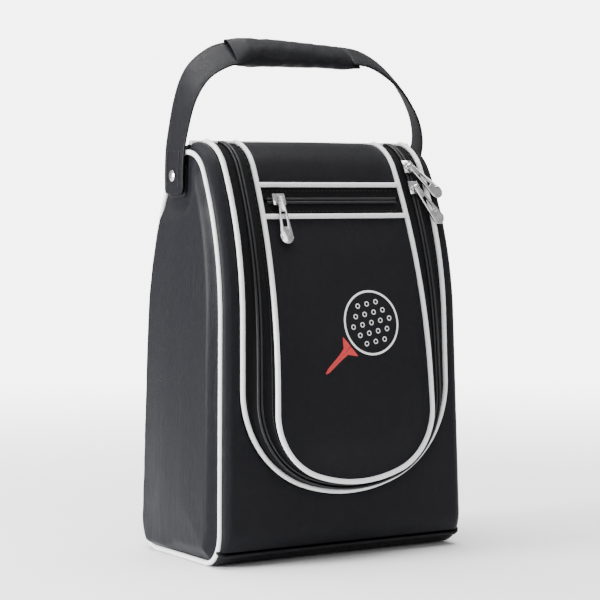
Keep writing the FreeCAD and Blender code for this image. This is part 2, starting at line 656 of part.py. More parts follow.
def surface_place(spot, normal, along):
    """Placement whose Z is the outward normal and whose X runs along the zip."""
    return FreeCAD.Placement(spot, FreeCAD.Rotation(along, normal.cross(along), normal))


def on_main_zip(height, centre_behind, centre_height, radius):
    """Place of a slider on the right leg of the main zip, on an arc of the side view."""
    rise = (height - centre_height) / radius
    fall = math.sqrt(1 - rise * rise)
    slope = number("(MiddleSide - MiddleTop) / (BodyHeight - MiddleTurn)")
    across = number("MiddleTop") + slope * (number("BodyHeight") - height)
    along = FreeCAD.Vector(-slope, rise, fall).normalize()
    spot = FreeCAD.Vector(across, centre_behind - radius * fall, height)
    return surface_place(spot, FreeCAD.Vector(0, -fall, rise), along)


def sliders():
    """The two sliders of the main zip and the one of the pocket zip, each with its pull."""
    place = on_main_zip(number("UpperSliderHeight"), 0, number("CrownHeight"), number("CrownRadius"))
    slider("upper", place, 180 + UPPER_PULL_TURN, whole=False)
    place = on_main_zip(number("LowerSliderHeight"), number("CoilBehind"), number("CoilCentre"),
                        number("CoilRadius"))
    slider("lower", place, 180 + LOWER_PULL_TURN, whole=False)
    rise = number("(PocketHeight - FlapCentre) / FlapRadius")
    fall = math.sqrt(1 - rise * rise)
    spot = FreeCAD.Vector(-number("PocketSliderPlace"), number(on_shoulder("Flap", "0", -1, "PocketHeight")[0]),
                          number("PocketHeight"))
    place = surface_place(spot, FreeCAD.Vector(0, -fall, rise), FreeCAD.Vector(1, 0, 0))
    slider("pocket", place, -90, whole=True)


# ---------------------------------------------------------------- the handle

def handle():
    """Two strap ends that turn on the rivets, and the rolled grip that joins them."""
    round_end = [("HandleBack + StrapWidth / 2", "HandlePivot", "0"),
                 ("HandleBack + StrapWidth / 2", BEYOND, "0"),
                 ("HandleBack - StrapWidth / 2", BEYOND, "0"),
                 ("HandleBack - StrapWidth / 2", "HandlePivot", "StrapWidth / 2 * 1.0001")]
    for side, name in ((-1, "left"), (1, "right")):
        centre = "(StrapOut - StrapBend)"
        end_cos = "(StrapEnd - StrapOut + StrapBend) / StrapBend"
        end_sin = "(GripHeight - StrapRise) / StrapBend"
        lines = []
        for offset in ("StrapThickness / 2", "-StrapThickness / 2"):
            arc = f"(StrapBend + {offset})"
            lines.append([(f"{side} * (StrapOut + {offset})", "HandlePivot - StrapWidth", "0"),
                          (f"{side} * (StrapOut + {offset})", "StrapRise", f"{side} * {arc}"),
                          (f"{side} * ({centre} + {arc} * {end_cos})", f"StrapRise + {arc} * {end_sin}", "0")])
        ribbon = prism(f"ribbon_{name}", outline(f"ribbon_{name}_outline", "front",
                       there_and_back(lines[0], lines[1])), BEYOND)
        width = prism(f"strap_{name}_width", outline(f"strap_{name}_end", "side", round_end), BEYOND)
        hole = doc.addObject("Part::Cylinder", f"strap_{name}_hole")
        hole.Placement = FreeCAD.Placement(FreeCAD.Vector(), FreeCAD.Rotation(FreeCAD.Vector(0, 1, 0), 90))
        bind(hole, Radius="RivetShank + RivetPlay", Height=BEYOND, Placement__Base__x="-BodyHeight",
             Placement__Base__y="HandleBack", Placement__Base__z="HandlePivot")
        keep(less(f"strap_{name}", both(f"strap_{name}_blank", ribbon, width), hole), f"handle_strap_{name}")

    rings = []
    for name, less_by, half in (("outer", "0", "GripHalfLength"), ("inner", "GripWall", "GripHalfLength + Wall"),
                                ("padding", "GripWall + GripPlay", "GripHalfLength - Wall")):
        ring = doc.addObject("Part::Ellipse", f"grip_{name}_section")
        ring.Placement = FreeCAD.Placement(FreeCAD.Vector(), PLANES["side"])
        bind(ring, MajorRadius=f"GripDeep / 2 - {less_by}", MinorRadius=f"GripTall / 2 - {less_by}",
             Placement__Base__y="HandleBack", Placement__Base__z="GripHeight")
        solid = prism(f"grip_{name}", ring, f"2 * ({half})")
        solid.DirMode = "Custom"
        solid.Dir = FreeCAD.Vector(1, 0, 0)
        rings.append(solid)
    keep(less("grip_roll", rings[0], rings[1]), "grip_sleeve")
    keep(rings[2], "grip_padding")


# ---------------------------------------------------------------- the bag

LEG_STEPS = 10             # points of a zip curve: down its leg,
CORNER_STEPS = 4           # round its corner
BOW_STEPS = 3              # and along its bow
UPPER_PULL_TURN = 41       # degrees from the line of the zip, where the pulls hang
LOWER_PULL_TURN = 31


def build():
    fill_sheet()
    wrap_panel("front_panel", -1, u_shape("front_opening", "Outer", "PanelEdge"))
    wrap_panel("back_panel", 1)
    bottom_panel()
    for side, name in ((-1, "left"), (1, "right")):
        side_pieces(side, name)
    rod("crown_cord", "crown_piping", "PipingRadius", "TopHalfWidth - PipingInset", "0", "BodyHeight - Wall / 2")
    for side, name in ((-1, "front"), (1, "back")):
        depth, height = on_wall("Body", "WeltRadius * 0.7", side, "CornerRadius")
        rod(f"{name}_cord", f"foot_welt_{name}", "WeltRadius", "BaseHalfWidth - Wall - PipingRadius / 2",
            depth, height)
    u_bead("main_piping", "Outer", "Body", ("wall", "OuterBottom - 2 * PipingRadius"))

    teeth, side_gap = "(ZipGap / 2 + TeethWidth)", "ZipGap / 2"
    tape_start = f"{teeth} - SewBite"
    for label, curve, line in (("outer", "Outer", "Body"), ("inner", "Inner", "Flap")):
        zip_layer(f"zip_coil_{label}", curve, line, side_gap, teeth, "TeethThickness", number("TeethProud"))
        zip_layer(f"zip_tape_{label}", curve, line, tape_start, None, "TapeThickness", 0)

    u_bead("flap_piping", "Inner", "Flap", ("wall", "InnerBottom - 2 * PipingRadius"))
    opening = "PocketHalfOpening"
    flap_top = ("crown", "PipingRadius + SewBite * 2")
    flap_panel("flap_top_panel", ("shoulder", f"PocketHeight + {opening} + PanelEdge"), flap_top, None)
    flap_panel("flap_pocket_panel", ("wall", "InnerBottom - Wall"),
               ("shoulder", f"PocketHeight - {opening} - PanelEdge"), "FlapWall + PocketGap")
    backing = band("backing_layer", "Flap", -1, ("wall", "InnerBottom - Wall"),
                   ("shoulder", f"PocketHeight + {opening}"), "FlapWall + PocketGap", "FlapThickness")
    keep(both("backing", backing, u_shape("backing_edge", "Inner", "-PanelEdge")), "flap_lining")
    for way, name in ((-1, "lower"), (1, "upper")):
        levels = [f"PocketHeight + {way} * {reach}" for reach in
                  (f"({opening} - PipingRadius)", f"({opening} + PipingRadius)")]
        pocket_layer(f"pocket_piping_{name}", *levels[::way], "-PipingRadius", "PipingRadius",
                     "InnerTop - 2 * PipingRadius")
        levels = [f"PocketHeight + {way} * {reach}" for reach in (tape_start, f"({opening} - PanelEdge)")]
        pocket_layer(f"pocket_tape_{name}", *levels[::way], "0", "TapeThickness", "InnerTop - 2 * PipingRadius")
        levels = [f"PocketHeight + {way} * {reach}" for reach in (side_gap, teeth)]
        pocket_layer(f"pocket_coil_{name}", *levels[::way], "-TeethProud", "TeethThickness - TeethProud",
                     "PocketTeethHalf")
    sliders()
    handle()


def check():
    """Stops unless every object of the document is sound and every piece is a valid solid."""
    doc.recompute()
    for thing in doc.Objects:
        if "Invalid" in thing.State or "Error" in thing.State:
            raise RuntimeError(f"{thing.Name} did not compute: {thing.State}")
    for piece in nodes:
        shape = piece.Shape
        if shape.isNull() or not shape.isValid() or not shape.Solids or shape.Volume <= 0:
            raise RuntimeError(f"{piece.Label} is not a valid solid")


def write():
    os.makedirs("parts", exist_ok=True)
    for piece in nodes:
        piece.Shape.exportStep(os.path.join("parts", piece.Label + ".step"))
        solids = piece.Shape.Solids
        print(f"{piece.Label}: {len(solids)} solid(s), {sum(s.Volume for s in solids) / 1000:.2f} cm3")


build()
check()
write()
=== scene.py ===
import math

import bmesh
import bpy
import numpy as np
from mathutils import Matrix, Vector


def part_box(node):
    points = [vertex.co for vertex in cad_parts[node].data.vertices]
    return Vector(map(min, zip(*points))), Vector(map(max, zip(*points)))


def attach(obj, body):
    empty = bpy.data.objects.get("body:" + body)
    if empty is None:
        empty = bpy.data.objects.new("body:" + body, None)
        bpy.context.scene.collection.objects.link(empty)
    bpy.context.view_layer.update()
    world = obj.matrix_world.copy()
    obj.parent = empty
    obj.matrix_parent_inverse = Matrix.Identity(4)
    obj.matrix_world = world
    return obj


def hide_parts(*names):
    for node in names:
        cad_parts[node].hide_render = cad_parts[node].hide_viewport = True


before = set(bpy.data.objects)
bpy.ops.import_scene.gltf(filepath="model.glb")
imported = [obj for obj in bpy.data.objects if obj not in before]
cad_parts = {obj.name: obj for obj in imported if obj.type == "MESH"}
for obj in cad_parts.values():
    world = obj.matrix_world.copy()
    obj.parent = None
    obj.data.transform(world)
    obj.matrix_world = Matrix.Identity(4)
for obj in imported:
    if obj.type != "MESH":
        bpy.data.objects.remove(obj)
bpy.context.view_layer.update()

bl_info = {
    "name": "Golf shoe bag",
    "version": (1, 0, 0),
    "blender": (4, 5, 0),
    "location": "View3D > Sidebar > Shoe bag",
    "description": "Leathercloth shoe bag with a U-zip flap, white piping and a rolled handle",
    "category": "Add Mesh",
}

MM = 0.001
INSIDE = np.array([0.0, 0.0, 0.15])            # a point in the middle of the bag, behind every outer surface

# The side view, as the CAD has it: a crown arc, a long shoulder arc, a leaning wall and a foot arc.
BODY_HEIGHT = 320 * MM
CROWN_RADIUS = 37 * MM
FOOT_RADIUS = 28 * MM
BASE_HALF = 110 * MM                           # half the width at the floor
TOP_HALF = 103 * MM                            # half the width at the crown

# Each surface's half depth where its shoulder arc meets the wall, the height of that point, and the wall's
# lean in degrees.
SIDE_LINES = {"body": (63 * MM, 185 * MM, 1.46), "coil": (69 * MM, 165 * MM, 3.0),
              "flap": (77.7 * MM, 133 * MM, 3.5)}

# Each U in mm: half its width at the crown and at its widest, the height of its bottom, and the radii of its
# corners and of the bow between them.
U_CURVES = {"outer": (90, 93, 52, 78, 120), "inner": (64, 70.5, 61, 50, 110)}
U_CURVES["middle"] = tuple((a + b) / 2 for a, b in zip(U_CURVES["outer"], U_CURVES["inner"]))

SEAM_START = 4.2 * MM                          # way from the crown seam to the ends of the U seams and coils
FLAP_START = 3.2 * MM                          # way from the crown seam to the first row of the flap
PIPING_RADIUS = 2 * MM
WRAP = 8 * MM                                  # the leathercloth turns this far round each side edge
POCKET_LINE = (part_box("pocket_coil_lower")[1].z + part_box("pocket_coil_upper")[0].z) / 2
POCKET_HALF = 12 * MM                          # from the pocket line to the seam above or below it

PIPING_RIPPLE = 0.03                           # a sewn cord's radius varies by this share
WELT_RADIUS = 1.5 * MM
COIL_RADIUS = 1.15 * MM
COIL_SHIFT = 1.57                              # phase of one half of a coil against the other, in radians
WALL = 2.4 * MM                                # leathercloth and lining of the body
FLAP_WALL = 1.6 * MM
LINING_WALL = 1.2 * MM
TAPE_WALL = 0.7 * MM

STRAP_HALF = 14.5 * MM
STRAP_BACK = 14 * MM                           # the straps stand this far behind the crown seam
STRAP_SEWN = 276 * MM                          # the sides stay flat under the strap ends, down to this height
STITCH_MARGIN = 2.6 * MM                       # from the edge of a strap to its row of stitches
GRIP_LEVEL = 389.5 * MM
GRIP_HALF = 57 * MM
CHAPE_RISE = 2.6 * MM                          # thickness of a chape
CHAPE_SUNK = 1.0 * MM                          # and how much of it lies inside the side panel

MOTIF_ACROSS = 16 * MM
MOTIF_LEVEL = 181 * MM
MOTIF_TILT = math.radians(-50)
DIMPLE_INNER, DIMPLE_OUTER = 1.3 * MM, 2.0 * MM

LEATHER_SPECULAR = 0.115
THREAD_WAVE = 6.2832                           # one thread of a weave is one full wave, in radians
WEFT_WAVE = 12.566                             # and two wefts lie in the width of one thread


# ---------------------------------------------------------------- numbers and outlines

class SideLine:
    """Side view of a surface.  A way along it is measured from the crown seam (0) down the front (positive)
    or the back (negative): the crown arc, the shoulder arc tangent to it and to the leaning wall, the wall,
    and for the body the foot arc and the floor."""

    def __init__(self, depth, shoulder, lean):
        cos, sin = math.cos(math.radians(lean)), math.sin(math.radians(lean))
        rise = BODY_HEIGHT - CROWN_RADIUS - shoulder
        self.depth, self.shoulder, self.cos, self.sin = depth, shoulder, cos, sin
        apart = depth * cos - rise * sin - CROWN_RADIUS
        self.radius = (depth ** 2 + rise ** 2 - CROWN_RADIUS ** 2) / (2 * apart)
        self.behind = self.radius * cos - depth
        self.centre = shoulder - self.radius * sin
        self.join = math.asin(self.behind / (self.radius - CROWN_RADIUS))
        self.last = math.pi / 2 - math.radians(lean)
        self.crown_way = CROWN_RADIUS * self.join
        self.shoulder_way = self.crown_way + self.radius * (self.last - self.join)
        foot_up = FOOT_RADIUS * (1 + sin)
        self.foot_middle = depth + (shoulder - foot_up) * sin / cos - FOOT_RADIUS * cos
        self.wall_way = self.shoulder_way + (shoulder - foot_up) / cos
        self.foot_way = self.wall_way + FOOT_RADIUS * (math.pi - self.last)

    def point(self, way, lift=0.0, foot=False):
        """Depth and height at a way along the line, raised by lift along the normal."""
        way = np.asarray(way, float)
        side, run = np.sign(way + 1e-12), np.abs(way)         # the crown seam itself counts as the front
        crown = np.clip(run, 0, self.crown_way) / CROWN_RADIUS
        turn = self.join + np.clip(run - self.crown_way, 0, self.shoulder_way - self.crown_way) / self.radius
        fall = np.maximum(run - self.shoulder_way, 0)
        if foot:
            fall = np.minimum(fall, self.wall_way - self.shoulder_way)
        depth = (self.radius + lift) * np.sin(turn) - self.behind + fall * self.sin
        level = self.centre + (self.radius + lift) * np.cos(turn) - fall * self.cos
        on_crown = run <= self.crown_way
        depth = np.where(on_crown, (CROWN_RADIUS + lift) * np.sin(crown), depth)
        level = np.where(on_crown, BODY_HEIGHT - CROWN_RADIUS + (CROWN_RADIUS + lift) * np.cos(crown), level)
        if foot:
            bend = self.last + np.clip(run - self.wall_way, 0, self.foot_way - self.wall_way) / FOOT_RADIUS
            flat = np.maximum(run - self.foot_way, 0)
            on_foot = run > self.wall_way
            depth = np.where(on_foot, self.foot_middle + (FOOT_RADIUS + lift) * np.sin(bend) - flat, depth)
            level = np.where(on_foot, FOOT_RADIUS + (FOOT_RADIUS + lift) * np.cos(bend), level)
        return side * depth, level

    def way_at(self, level):
        """The way at a height on the shoulder arc or on the wall."""
        level = np.asarray(level, float)
        turn = np.arccos(np.clip((level - self.centre) / self.radius, -1, 1))
        on_arc = self.crown_way + (turn - self.join) * self.radius
        on_wall = self.shoulder_way + (self.shoulder - level) / self.cos
        return np.where(level >= self.shoulder, on_arc, on_wall)


LINES = {name: SideLine(*facts) for name, facts in SIDE_LINES.items()}
BODY, COIL, FLAP = LINES["body"], LINES["coil"], LINES["flap"]


def half_width(level):
    """Half the width of the body at a height: it tapers evenly from the floor to the crown."""
    return BASE_HALF + (TOP_HALF - BASE_HALF) * level / BODY_HEIGHT


def soft(x, y, size, seed, waves=5):
    """A soft irregular field, about -1 to 1: a sum of sine waves of a given length in seeded directions."""
    draw = np.random.default_rng(seed)
    total = 0.0
    for _ in range(waves):
        angle, phase = draw.uniform(0, 2 * math.pi, 2)
        length = size * draw.uniform(0.7, 1.6)
        total = total + np.sin((x * math.cos(angle) + y * math.sin(angle)) * 2 * math.pi / length + phase)
    return total / waves


def smooth(x):
    """0 below 0, 1 above 1, and an even S between."""
    x = np.clip(x, 0, 1)
    return x * x * (3 - 2 * x)


def curve_through(points, count):
    """Catmull-Rom curve through points, resampled to even spacing."""
    points = np.asarray(points, float)
    padded = np.vstack([2 * points[0] - points[1], points, 2 * points[-1] - points[-2]])
    spans = len(points) - 1
    share = np.linspace(0, spans, 40 * spans + 1)
    cell = np.minimum(share.astype(int), spans - 1)
    part = (share - cell)[:, None]
    a, b, c, d = (padded[cell + k] for k in range(4))
    line = 0.5 * (2 * b + (c - a) * part + (2 * a - 5 * b + 4 * c - d) * part ** 2
                  + (3 * b - a - 3 * c + d) * part ** 3)
    return even(line, count)


def run_along(line):
    """The distance along a line of points, from the first, at each of them."""
    return np.concatenate([[0], np.cumsum(np.linalg.norm(np.diff(line, axis=0), axis=1))])


def read_at(wanted, run, line):
    """The points of a line at other distances along it, straight between the given ones."""
    return np.stack([np.interp(wanted, run, line[:, k]) for k in range(line.shape[1])], axis=1)


def even(line, count):
    """A line of points resampled to count points at even distances."""
    run = run_along(line)
    return read_at(np.linspace(0, run[-1], count), run, line)


def unit(vectors):
    """The vectors, each divided by its length."""
    return vectors / np.linalg.norm(vectors, axis=-1)[..., None]


def full_turn(count):
    """Angles at even steps round a circle, up to the one before the first comes again."""
    return np.linspace(0, 2 * math.pi, count, endpoint=False)


def fuller(wave, power):
    """A sine or cosine with its size to a power under 1, which squares the corners of an oval."""
    return np.sign(wave) * np.abs(wave) ** power


def mirrored(right, sign=1):
    """The right half of a row, up to its middle, and then the left half; sign is -1 for distances across."""
    return np.concatenate([right, sign * right[-2::-1]])


def u_curve(name, line, lift=0.0, grow=0.0, start=SEAM_START, count=700):
    """One of the U curves on a surface, from the crown on the right, down its leg, round its corner and bow,
    and up to the crown on the left, grown outwards by grow; with it, the way of each point."""
    top, side, bottom, corner, bow = (size * MM for size in U_CURVES[name])
    turn = bottom + bow - math.sqrt((bow - corner) ** 2 - (side - corner) ** 2)
    widest = math.atan2(bottom + bow - turn, side - corner)
    leg = np.linspace(start, float(line.way_at(turn)), 120)
    _, level = line.point(leg)
    across = side - (side - top) * (np.minimum(level, BODY_HEIGHT) - turn) / (BODY_HEIGHT - turn) + grow
    angle = np.linspace(0, widest, 60)[1:]
    arc_x = side - corner + (corner + grow) * np.cos(angle)
    arc_z = turn - (corner + grow) * np.sin(angle)
    angle = np.linspace(widest, math.pi / 2, 40)[1:]
    bow_x = (bow + grow) * np.cos(angle)
    bow_z = bottom + bow - (bow + grow) * np.sin(angle)
    across = np.concatenate([across, arc_x, bow_x])
    way = np.concatenate([leg, line.way_at(arc_z), line.way_at(bow_z)])
    across, way = mirrored(across, -1), mirrored(way)
    depth, level = line.point(way, lift)
    flat = even(np.stack([across, -depth, level, way], axis=1), count)
    return flat[:, :3], flat[:, 3]


# ---------------------------------------------------------------- meshes

def cell_corners(index):
    """The four vertex numbers of every cell of one or more grids of vertex numbers."""
    cells = (index[..., :-1, :-1], index[..., 1:, :-1], index[..., 1:, 1:], index[..., :-1, 1:])
    return np.stack(cells, axis=-1).reshape(-1, 4)


def add_object(name, data):
    """A new object of the scene that holds a mesh, a light or a camera."""
    thing = bpy.data.objects.new(name, data)
    bpy.context.scene.collection.objects.link(thing)
    return thing


def grid_piece(name, points, uv=None, around=False, inside=INSIDE):
    """A mesh over a grid of points; around joins its last column to its first.  Faces turn away from the
    inside point, or from each row's middle where inside is None."""
    rows, cols = points.shape[:2]
    index = np.arange(rows * cols).reshape(rows, cols)
    if around:
        index = np.hstack([index, index[:, :1]])
    quads = cell_corners(index)
    flat = points.reshape(-1, 3)
    corner = flat[quads]
    normal = np.cross(corner[:, 2] - corner[:, 0], corner[:, 3] - corner[:, 1])
    middle = corner.mean(axis=1)
    if inside is None:
        centre = np.repeat(points.mean(axis=1), cols if around else cols - 1, axis=0)[: len(middle)]
    else:
        centre = inside
    if (normal * (middle - centre)).sum() < 0:
        quads = quads[:, ::-1]
    mesh = bpy.data.meshes.new(name)
    mesh.from_pydata(flat.tolist(), [], quads.tolist())
    mesh.polygons.foreach_set("use_smooth", np.ones(len(quads), bool))
    if uv is not None:
        layer = mesh.uv_layers.new(name="UVMap")
        corners = np.empty(len(mesh.loops), int)
        mesh.loops.foreach_get("vertex_index", corners)
        layer.data.foreach_set("uv", uv.reshape(-1, 2)[corners].ravel())
    mesh.update()
    return add_object(name, mesh)


def sweep_frames(path, closed, up=(0.0, 0.0, 1.0)):
    """Two unit vectors across a path at each point, carried along it without twisting."""
    if closed:
        tangent = np.roll(path, -1, axis=0) - np.roll(path, 1, axis=0)
    else:
        tangent = np.gradient(path, axis=0)
    tangent = unit(tangent)
    first = np.cross(tangent[0], up)
    if np.linalg.norm(first) < 0.1:
        first = np.cross(tangent[0], (0.0, 1.0, 0.0))
    side = [first / np.linalg.norm(first)]
    for ahead in tangent[1:]:
        turned = side[-1] - ahead * np.dot(side[-1], ahead)
        side.append(turned / np.linalg.norm(turned))
    side = np.array(side)
    return side, np.cross(tangent, side), tangent


def cord_piece(name, path, radius, closed=False, around=10, ripple=None):
    """A round cord along a path; ripple gives its radius at each point as a share of radius.  Open ends
    close in a small dome."""
    path = np.asarray(path, float)
    side, up, tangent = sweep_frames(path, closed)
    size = np.full(len(path), radius) if ripple is None else radius * ripple
    if not closed:
        path = np.vstack([path[0] - tangent[0] * radius * 0.6, path, path[-1] + tangent[-1] * radius * 0.6])
        side, up = (np.vstack([v[:1], v, v[-1:]]) for v in (side, up))
        size = np.concatenate([[radius * 0.05], size, [radius * 0.05]])
    angle = full_turn(around)
    ring = np.cos(angle)[None, :, None] * side[:, None] + np.sin(angle)[None, :, None] * up[:, None]
    points = path[:, None] + ring * size[:, None, None]
    if closed:
        points = np.concatenate([points, points[:1]], axis=0)
    piece = grid_piece(name, points, around=True, inside=None)
    if closed:
        weld(piece)
    return piece


def weld(piece, distance=1e-6):
    """Merges the doubled points of a seam or a pole."""
    work = bmesh.new()
    work.from_mesh(piece.data)
    bmesh.ops.remove_doubles(work, verts=work.verts, dist=distance)
    work.to_mesh(piece.data)
    work.free()
    return piece


def thicken(piece, thickness):
    """Gives a sheet its thickness, inwards."""
    wall = piece.modifiers.new("thickness", "SOLIDIFY")
    wall.thickness = thickness
    wall.offset = -1
    return piece


def stitch_row(name, spots, along, out, length, radius):
    """A row of stitches: at each spot a small capsule of thread lying along the seam, half sunk in the
    leathercloth.  spots, along and out are arrays of points and unit vectors."""
    side = np.cross(along, out)
    share = np.array([-0.5, -0.4, 0.0, 0.4, 0.5])              # five rings, and the size of each
    size = np.array([0.25, 0.85, 1.0, 0.85, 0.25]) * radius
    angle = full_turn(6)
    ring = (np.cos(angle)[None, None, :, None] * side[:, None, None]
            + np.sin(angle)[None, None, :, None] * out[:, None, None])
    points = (spots[:, None, None] + along[:, None, None] * (share * length)[None, :, None, None]
              + ring * size[None, :, None, None])
    rings, sides = len(share), len(angle)
    index = np.arange(len(spots) * rings * sides).reshape(len(spots), rings, sides)
    index = np.concatenate([index, index[:, :, :1]], axis=2)
    caps = np.concatenate([index[:, 0, :sides], index[:, -1, sides - 1::-1]])
    mesh = bpy.data.meshes.new(name)
    mesh.from_pydata(points.reshape(-1, 3).tolist(), [], cell_corners(index).tolist() + caps.tolist())
    mesh.polygons.foreach_set("use_smooth", np.ones(len(mesh.polygons), bool))
    return outward(add_object(name, mesh))


def outward(piece):
    """Turns the faces of a closed mesh outwards."""
    work = bmesh.new()
    work.from_mesh(piece.data)
    bmesh.ops.recalc_face_normals(work, faces=work.faces)
    work.to_mesh(piece.data)
    work.free()
    return piece


def stitch_line(name, path, out, pitch=3.6 * MM, length=2.7 * MM, radius=0.32 * MM):
    """Stitches at even distances along a path, with the outward direction of each of its points."""
    both = even(np.hstack([path, out]), max(int(run_along(path)[-1] / pitch), 4))
    along = unit(np.gradient(both[:, :3], axis=0))
    out = unit(both[:, 3:] - along * (both[:, 3:] * along).sum(axis=1)[:, None])
    return stitch_row(name, both[:, :3], along, out, length, radius)


def finish_piece(piece, body, slot, material, *nodes):
    """Puts a piece on its body, with its finish and the CAD nodes it stands for."""
    piece.data.materials.clear()
    piece.data.materials.append(material)
    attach(piece, body)
    if nodes:
        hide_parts(*nodes)
    return piece


# ---------------------------------------------------------------- materials

def node_group(name, inputs, outputs):
    """An empty shader group with its sockets, and its input and output nodes."""
    group = bpy.data.node_groups.new(name, "ShaderNodeTree")
    for label, kind, value in inputs:
        socket = group.interface.new_socket(name=label, in_out="INPUT", socket_type=kind)
        if value is not None:
            socket.default_value = value
    for label, kind in outputs:
        group.interface.new_socket(name=label, in_out="OUTPUT", socket_type=kind)
    return group, group.nodes.new("NodeGroupInput"), group.nodes.new("NodeGroupOutput")


def math_node(tree, operation, first, second=None):
    """A Math node on sockets or numbers."""
    node = tree.nodes.new("ShaderNodeMath")
    node.operation = operation
    for place, value in enumerate((first, second)):
        if value is None:
            continue
        if isinstance(value, (int, float)):
            node.inputs[place].default_value = value
        else:
            tree.links.new(value, node.inputs[place])
    return node.outputs[0]


def noise(tree, vector, scale, detail=3.0, roughness=0.55):
    """A Noise texture's value; scale is a number or a socket, in features per metre."""
    node = tree.nodes.new("ShaderNodeTexNoise")
    node.inputs["Detail"].default_value = detail
    node.inputs["Roughness"].default_value = roughness
    tree.links.new(vector, node.inputs["Vector"])
    if isinstance(scale, (int, float)):
        node.inputs["Scale"].default_value = scale
    else:
        tree.links.new(scale, node.inputs["Scale"])
    return node.outputs["Fac"]


def crease_group():
    """Soft creases of a leather panel: a stretched noise whose narrow band gives long faint furrows, upright
    on the panel, and a broad cloud that varies the gloss."""
    group, entry, leave = node_group("panel_creases", [("Stretch", "NodeSocketFloat", 6.0)],
                                     [("Height", "NodeSocketFloat"), ("Cloud", "NodeSocketFloat")])
    coords = group.nodes.new("ShaderNodeTexCoord").outputs["Object"]
    split = group.nodes.new("ShaderNodeSeparateXYZ")
    group.links.new(coords, split.inputs[0])
    merged = group.nodes.new("ShaderNodeCombineXYZ")
    group.links.new(split.outputs["X"], merged.inputs["X"])
    group.links.new(split.outputs["Y"], merged.inputs["Y"])
    shrunk = math_node(group, "DIVIDE", split.outputs["Z"], entry.outputs["Stretch"])
    group.links.new(shrunk, merged.inputs["Z"])
    long_noise = noise(group, merged.outputs[0], 55.0, 4.0, 0.6)
    furrow = math_node(group, "ABSOLUTE", math_node(group, "SUBTRACT", long_noise, 0.5))
    narrow = group.nodes.new("ShaderNodeMapRange")
    narrow.interpolation_type = "SMOOTHSTEP"
    narrow.inputs["From Max"].default_value = 0.05
    group.links.new(furrow, narrow.inputs["Value"])
    group.links.new(narrow.outputs["Result"], leave.inputs["Height"])
    group.links.new(noise(group, merged.outputs[0], 22.0, 3.0, 0.6), leave.inputs["Cloud"])
    return group


def grain_group():
    """Leathercloth grain: small rounded cells with creases between them over a slow mottle.  Height goes to
    a Bump node, and the mottle varies colour and gloss."""
    group, entry, leave = node_group("leather_grain", [("Cells per metre", "NodeSocketFloat", 1300.0)],
                                     [("Height", "NodeSocketFloat"), ("Mottle", "NodeSocketFloat")])
    coords = group.nodes.new("ShaderNodeTexCoord").outputs["Object"]
    bend = group.nodes.new("ShaderNodeTexNoise")
    bend.inputs["Scale"].default_value = 500.0
    group.links.new(coords, bend.inputs["Vector"])
    mixed = group.nodes.new("ShaderNodeVectorMath")
    mixed.operation = "MULTIPLY_ADD"
    group.links.new(bend.outputs["Color"], mixed.inputs[0])
    mixed.inputs[1].default_value = (0.0006, 0.0006, 0.0006)
    group.links.new(coords, mixed.inputs[2])
    cells = group.nodes.new("ShaderNodeTexVoronoi")
    cells.feature = "DISTANCE_TO_EDGE"
    group.links.new(mixed.outputs[0], cells.inputs["Vector"])
    group.links.new(entry.outputs["Cells per metre"], cells.inputs["Scale"])
    crease = group.nodes.new("ShaderNodeMapRange")
    crease.interpolation_type = "SMOOTHSTEP"
    crease.inputs["From Max"].default_value = 0.22
    group.links.new(cells.outputs["Distance"], crease.inputs["Value"])
    fine = noise(group, coords, 2600.0, 2.0)
    height = math_node(group, "ADD", crease.outputs["Result"], math_node(group, "MULTIPLY", fine, 0.35))
    group.links.new(height, leave.inputs["Height"])
    slow = noise(group, coords, 28.0, 4.0)
    group.links.new(math_node(group, "MULTIPLY_ADD", slow, 1.6), leave.inputs["Mottle"])
    return group


def weave_group():
    """Woven tape from the UV map: slanted ribs that turn back along the middle of each rib pair, as in a
    herringbone, crossed by the weft.  U runs along the tape and V across it, both in metres."""
    group, entry, leave = node_group("tape_weave", [("Threads per metre", "NodeSocketFloat", 1500.0)],
                                     [("Height", "NodeSocketFloat")])
    coords = group.nodes.new("ShaderNodeTexCoord").outputs["UV"]
    split = group.nodes.new("ShaderNodeSeparateXYZ")
    group.links.new(coords, split.inputs[0])
    along = math_node(group, "MULTIPLY", split.outputs["X"], entry.outputs["Threads per metre"])
    across = math_node(group, "MULTIPLY", split.outputs["Y"], entry.outputs["Threads per metre"])
    folded = math_node(group, "PINGPONG", across, 3.0)
    slanted = math_node(group, "ADD", along, folded)
    rib = math_node(group, "SINE", math_node(group, "MULTIPLY", slanted, THREAD_WAVE))
    weft = math_node(group, "SINE", math_node(group, "MULTIPLY", across, WEFT_WAVE))
    total = math_node(group, "ADD", rib, math_node(group, "MULTIPLY", weft, 0.4))
    group.links.new(total, leave.inputs["Height"])
    return group


def plain_weave_group():
    """Plain lining cloth on Object coordinates: the sum of three sets of threads, one along each axis, so
    that a face square to an axis shows the other two."""
    group, entry, leave = node_group("lining_weave", [("Threads per metre", "NodeSocketFloat", 1100.0)],
                                     [("Height", "NodeSocketFloat")])
    coords = group.nodes.new("ShaderNodeTexCoord").outputs["Object"]
    split = group.nodes.new("ShaderNodeSeparateXYZ")
    group.links.new(coords, split.inputs[0])
    total = None
    for axis in "XYZ":
        phase = math_node(group, "MULTIPLY", split.outputs[axis], entry.outputs["Threads per metre"])
        wave = math_node(group, "SINE", math_node(group, "MULTIPLY", phase, THREAD_WAVE))
        total = wave if total is None else math_node(group, "ADD", total, wave)
    group.links.new(total, leave.inputs["Height"])
    return group


